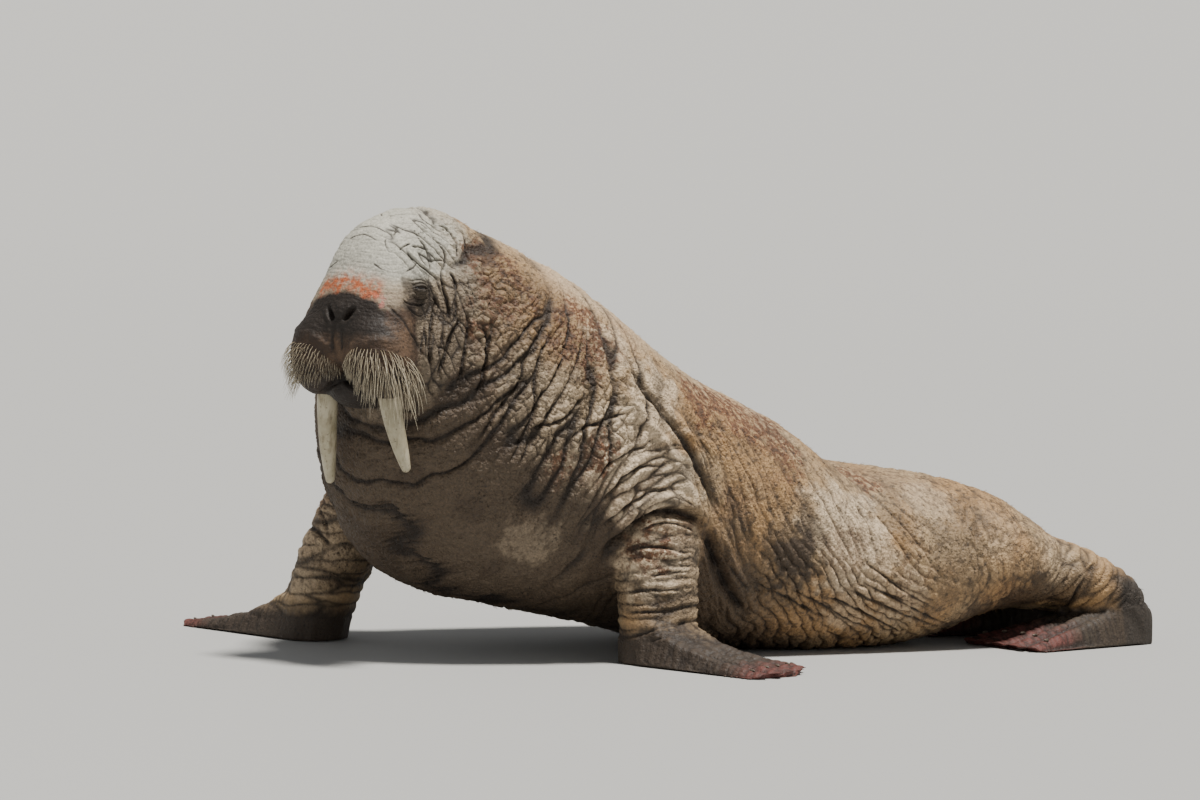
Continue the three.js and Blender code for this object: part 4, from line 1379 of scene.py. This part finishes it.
def bristle_roots(surface, side):
    """Roots on one pad, the skin's normals there, and how far each lies across and down the pad."""
    middle = from_head([np.array(PAD_MIDDLE) * (side, 1, 1)])[0]
    roots, normals, shares = [], [], []
    for row, column in product(range(PAD_ROWS), range(PAD_COLUMNS)):
        jitter = hashed(np.array([[row, column, side]]), 91)[0] - 0.5
        across = (column + 0.5 * (row % 2) + 0.3 * jitter[0]) / PAD_COLUMNS
        down = (row + 0.5 + 0.3 * jitter[1]) / PAD_ROWS
        way = bristle_ray(side, across, down)
        hit, normal, _, _ = surface.ray_cast(Vector(middle + way * 0.25), Vector(-way))
        if hit is None:
            continue
        x, _, z = in_head(np.array([hit]))[0]
        on_lip = z < LOWER_LIP and abs(x) < LIP_HALF
        if abs(x) >= CLEFT_HALF and lengths(np.array(hit) - middle) >= PAD_CORE and not on_lip:
            roots.append(hit)
            normals.append(normal)
            shares.append((across, down))
    return np.array(roots), np.array(normals), np.array(shares)


def lifted_off(surface, places):
    """The places, raised where they would lie in the skin or too near to it."""
    lift = np.zeros_like(places)
    for i, place in enumerate(places):
        near, normal, _, gap = surface.find_nearest(Vector(place))
        height = (Vector(place) - near).dot(normal)
        if gap < 0.05 and height < CLEARANCE:
            lift[i] = np.array(normal) * (CLEARANCE - height)
    return places + lift


def bristles(surface):
    """Each bristle's middle line, its radius, and its place on the baking map, left pad then right."""
    places, radii, homes = [], [], []
    for side in SIDES.values():
        roots, normals, share = bristle_roots(surface, side)
        chance = hashed(np.floor(roots * 1e4), 92)
        out = from_head([(side, 0, 0)])[0] - HEAD_AT
        growth = LONGEST[side] * ramp(share[:, 0], 0.10, 1.0) ** 0.9 * (0.75 + 0.25 * share[:, 1])
        length = (SHORTEST + growth) * (0.7 + 0.6 * chance[:, 0])
        way = 0.95 * normals + out * 0.35 * share[:, :1] + DOWN * (0.40 + 0.4 * share[:, 1:])
        way = unit(way + (chance - 0.5) * 0.25)
        lines = [roots - normals * ROOT_DEPTH]
        for t in np.arange(1, BRISTLE_STEPS + 1) / BRISTLE_STEPS:
            heading = way * (1 - 0.85 * t ** 0.7) + DOWN * (0.15 + 0.85 * t) + out * 0.10 * (1 - t)
            heading = unit(heading + (chance[:, [1, 2, 0]] - 0.5) * 0.5 * t)
            lines.append(lifted_off(surface, lines[-1] + heading * (length / BRISTLE_STEPS)[:, None]))
        places.append(np.stack(lines, 1))
        radii.append(BRISTLE_RADIUS[side] * (0.75 + 0.35 * chance[:, 2]) * (0.7 + 0.3 * share[:, 0]))
        half = 0.5 if side == 1 else 0
        homes.append(stacked(0.02 + 0.46 * share[:, 0] + half, 0.03 + 0.94 * share[:, 1]))
    return np.concatenate(places), np.concatenate(radii), np.concatenate(homes)


PATCH = 0.003  # the side of each tube's patch on the baking map


def tube_mesh(name, lines, radii, homes, sides):
    """A tapered tube along each line. homes hold where each tube's patch lies on the baking map."""
    count, steps = lines.shape[:2]
    ahead = unit(np.gradient(lines, axis=1))
    across = unit(np.cross(ahead, (0.31, 0.95, 0.05)))
    other = np.cross(ahead, across)
    t = np.linspace(0, 1, steps)
    taper = (1 - t) ** 0.8 * 0.85 + 0.15
    angles = np.arange(sides) * 2 * math.pi / sides
    ring = across[:, :, None] * np.cos(angles)[:, None] + other[:, :, None] * np.sin(angles)[:, None]
    co = lines[:, :, None] + ring * (radii[:, None] * taper)[..., None, None]
    step = np.arange(steps - 1)[:, None]
    j = np.arange(sides)[None]

    def grid(up, around):
        """A corner of each face on a tube: its vertex, and its place on the patch."""
        vertex = (step + up) * sides + (j + around) % sides
        u = (j + around) / sides - 0.5 + 0 * step
        v = (step + up) / (steps - 1) - 0.5 + 0 * j
        return vertex, np.stack([u, v], -1)

    vertices, uvs = zip(*[grid(up, around) for up, around in ((0, 0), (0, 1), (1, 1), (1, 0))])
    halves = ((0, 1, 2), (0, 2, 3))
    faces = np.stack([np.stack([vertices[k] for k in half], -1) for half in halves], -2).reshape(1, -1, 3)
    faces = (faces + np.arange(count)[:, None, None] * steps * sides).reshape(-1, 3)
    patch = np.stack([np.stack([uvs[k] for k in half], -2) for half in halves], -3).reshape(1, -1, 2)
    uv = (homes[:, None] + patch * PATCH).reshape(-1, 2)
    obj = mesh_object(name, co.reshape(-1, 3), faces)
    give_masks(obj, {"tip": np.broadcast_to(t[None, :, None], co.shape[:3]).reshape(-1)})
    obj.data.uv_layers.new(name="OFBake").data.foreach_set("uv", uv.astype(np.float32).ravel())
    return obj


# Short hairs: sparse tufts that lie backwards and down, none on the flippers, the nose or the lids

TUFTS = 4700
TUFT_SIZE = 3
TUFT_WIDTH = 0.005
HAIR_LENGTH, HAIR_RADIUS, HAIR_SIDES = 0.010, 0.00040, 3
HAIR_ROOT = 0.0008  # how deep each hair starts in the skin
LIE = np.array([0.0, 1.0, -0.5])
HEAD_TILE = (0.80, 0.75)  # tiles of the unwrap, each by its middle
LIMB_TILES = {
    "left_forearm": (0.70, 0.13), "right_forearm": (0.90, 0.13),
    "left_ankle": (0.70, 0.37), "right_ankle": (0.90, 0.37),
}


def tuft_roots(skin):
    """Vertices of the skin, spread evenly over the part of it that bears hair."""
    masks = skin.masks
    bare = skin.share("flipper") + masks["nose"] + masks["pad"] + masks["mouth"] + masks["lids"]
    bare += 1 - ramp(skin.co[:, 2], 0.01, 0.04)
    a, b, c = (skin.co[skin.faces[:, corner]] for corner in range(3))
    area = lengths(np.cross(b - a, c - a)) * (1 - np.clip(bare, 0, 1))[skin.faces[:, 0]]
    reach = np.cumsum(area)
    order = np.arange(TUFTS)
    at = (order + hashed(stacked(order, order, order), 93)[:, 0]) / TUFTS * reach[-1]
    return skin.faces[np.searchsorted(reach, at), 0]


def turned(x, y):
    """The angle of a place around an axis, as a share of a turn."""
    return np.arctan2(x, y) / (2 * math.pi)


def unwrapped(skin, roots):
    """Where each root lies on an unwrap of the skin: the trunk, the head and each limb have a tile."""
    co = skin.co[roots]
    x, y, z = in_head(co).T
    u = 0.31 + 0.56 * turned(skin.left[roots], skin.above[roots])
    v = 0.02 + 0.96 * np.clip(skin.along[roots] / skin.along.max(), 0, 1)
    face = skin.share(*FACE)[roots] > 0.5
    u = np.where(face, HEAD_TILE[0] + 0.34 * turned(x, 0.14 - y), u)
    v = np.where(face, HEAD_TILE[1] + 0.88 * turned(z, np.hypot(x, y - 0.14)), v)
    for name, (across, up) in LIMB_TILES.items():
        limb = skin.share(name)
        mine = limb[roots] > 0.5
        middle = (skin.co * limb[:, None]).sum(0) / limb.sum()
        u = np.where(mine, across + 0.17 * turned(co[:, 0] - middle[0], co[:, 1] - middle[1]), u)
        v = np.where(mine, up + 0.4 * np.clip(co[:, 2] - middle[2], -0.25, 0.25), v)
    return stacked(u, v)


def hairs(skin):
    """The middle line of each hair, their radii, their places on the baking map and their roots."""
    roots = np.repeat(tuft_roots(skin), TUFT_SIZE)
    chance = hashed(stacked(roots, np.arange(len(roots)), 0 * roots), 94)
    normals = normals_of(skin.co, skin.faces)[roots]
    lie = unit(LIE - normals * (normals @ LIE)[:, None])
    side = np.cross(normals, lie)
    fan = side * (chance[:, :1] - 0.5)
    face = skin.share("head", "snout", "jaw")[roots]
    length = (HAIR_LENGTH * (0.7 + 0.6 * chance[:, 2]) * (1 - 0.5 * face))[:, None]
    start = skin.co[roots] + (fan + lie * (chance[:, 1:2] - 0.5)) * TUFT_WIDTH - normals * HAIR_ROOT
    middle = start + (lie + 0.60 * normals + 0.9 * fan) * length * 0.45
    tip = middle + (lie + 0.15 * normals + 0.9 * fan) * length * 0.5
    return np.stack([start, middle, tip], 1), HAIR_RADIUS * (1 - 0.35 * face), unwrapped(skin, roots), roots


# Pieces

HAIR_LIGHTNESS = 1.25  # of the hairs' markings over the skin's
WELD, ROUNDING = 0.00005, 2  # joins the corners of a solid's faces, and how often they are halved


def give_masks(obj, masks):
    for name, values in masks.items():
        obj.data.attributes.new(name, "FLOAT", "POINT").data.foreach_set("value", values.astype(np.float32))


def make_body(skin):
    body = mesh_object("skin", skin.co, skin.faces)
    give_masks(body, {"crease": skin.crease, **skin.masks})
    body.data.materials.append(hide_material("hide", 1.0))
    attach(body, "root")
    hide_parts(*FLESH)


def make_hairs(skin):
    *shapes, roots = hairs(skin)
    coat = tube_mesh("hairs", *shapes, HAIR_SIDES)
    each = len(coat.data.vertices) // len(roots)
    masks = {"crease": 0 * skin.crease, **skin.masks}
    give_masks(coat, {name: np.repeat(values[roots], each) for name, values in masks.items()})
    coat.data.materials.append(hide_material("hair", HAIR_LIGHTNESS))
    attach(coat, "root")


def make_whiskers(skin):
    muzzle = skin.share("pad", "snout", "jaw") > 0.15
    muzzle = muzzle[skin.faces].all(1)
    surface = BVHTree.FromPolygons(skin.co.tolist(), skin.faces[muzzle].tolist())
    whiskers = tube_mesh("whiskers", *bristles(surface), BRISTLE_SIDES)
    whiskers.data.materials.append(whisker_material())
    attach(whiskers, "root")


def finish_solids():
    """Rounds the solids that show as they are, and gives them their materials."""
    for ending, made in (("_tusk", ivory_material()), ("_eye", eye_material()), ("_claw_", claw_material())):
        for name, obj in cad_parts.items():
            if ending not in name:
                continue
            obj.data.materials.clear()
            obj.data.materials.append(made)
            shade_smooth(obj.data)
            obj.modifiers.new("weld", "WELD").merge_threshold = WELD
            rounder = obj.modifiers.new("rounder", "SUBSURF")
            rounder.levels = ROUNDING
            rounder.render_levels = ROUNDING


skin = make_skin(*solids_tree())
make_body(skin)
make_hairs(skin)
make_whiskers(skin)
finish_solids()


# Floor, light and camera

SWEEP = [(22, 0), (25, 0.06), (28, 0.30), (32, 0.95), (37, 2.3), (43, 4.7), (50, 8.4)]  # radii and heights
SWEEP_TURNS = 96
FLOOR_COLOUR, FLOOR_ROUGHNESS = (0.40, 0.40, 0.39, 1), 0.7
KEY_FROM, KEY_SPREAD, KEY_POWER, KEY_COLOUR = (0.24, 0.07, 0.97), 9, 6.6, (1.0, 0.965, 0.91)
FILL_AT, FILL_TO, FILL_SIZE, FILL_POWER = (3.5, -7.5, 2.6), (0, 0, 0.4), 4.0, 50
FILL_COLOUR = (0.93, 0.96, 1.0)
SKY_COLOUR, SKY_POWER = (0.80, 0.83, 0.86, 1), 0.31


def floor():
    """A pale floor that is flat around the animal and rises gently far away from it."""
    turns = np.arange(SWEEP_TURNS) * 2 * math.pi / SWEEP_TURNS
    places = [(r * math.cos(turn), r * math.sin(turn), z) for r, z in SWEEP for turn in turns] + [(0, 0, 0)]
    after = [(k + 1) % SWEEP_TURNS for k in range(SWEEP_TURNS)]
    faces = [(len(places) - 1, k, after[k]) for k in range(SWEEP_TURNS)]
    for ring in range(len(SWEEP) - 1):
        low, high = ring * SWEEP_TURNS, (ring + 1) * SWEEP_TURNS
        faces += [(low + k, high + k, high + after[k], low + after[k]) for k in range(SWEEP_TURNS)]
    mesh = bpy.data.meshes.new("floor")
    mesh.from_pydata(places, [], faces)
    shade_smooth(mesh)
    stone = Surface("floor")
    stone.give("Base Color", FLOOR_COLOUR)
    stone.give("Roughness", FLOOR_ROUGHNESS)
    mesh.materials.append(stone.material)
    obj = placed("floor", mesh)


def fill_light():
    """A wide, weak lamp from the front."""
    data = bpy.data.lights.new("fill", "AREA")
    data.shape = "DISK"
    data.size = FILL_SIZE
    data.energy = FILL_POWER
    data.color = FILL_COLOUR
    obj = placed("fill", data)
    obj.location = FILL_AT
    obj.rotation_euler = (Vector(FILL_TO) - Vector(FILL_AT)).to_track_quat("-Z", "Y").to_euler()


def key_light():
    """Light from one direction, as from a large soft panel far above."""
    data = bpy.data.lights.new("key", "SUN")
    data.angle = math.radians(KEY_SPREAD)
    data.energy = KEY_POWER
    data.color = KEY_COLOUR
    placed("key", data).rotation_euler = Vector(KEY_FROM).to_track_quat("Z", "Y").to_euler()


def sky():
    world = bpy.data.worlds.new("world")
    bpy.context.scene.world = world
    world.use_nodes = True
    world.node_tree.nodes["Background"].inputs["Color"].default_value = SKY_COLOUR
    world.node_tree.nodes["Background"].inputs["Strength"].default_value = SKY_POWER


def camera():
    data = bpy.data.cameras.new("camera")
    data.sensor_width = 36
    data.lens = FOCAL / PICTURE[0] * data.sensor_width
    data.clip_end = 200
    obj = placed("camera", data)
    turn = Matrix(np.stack([PICTURE_X, PICTURE_Y, -FORWARD], 1).tolist()).to_4x4()
    obj.matrix_world = Matrix.Translation(CAMERA_AT.tolist()) @ turn
    bpy.context.scene.camera = obj


floor()
key_light()
fill_light()
sky()
camera()
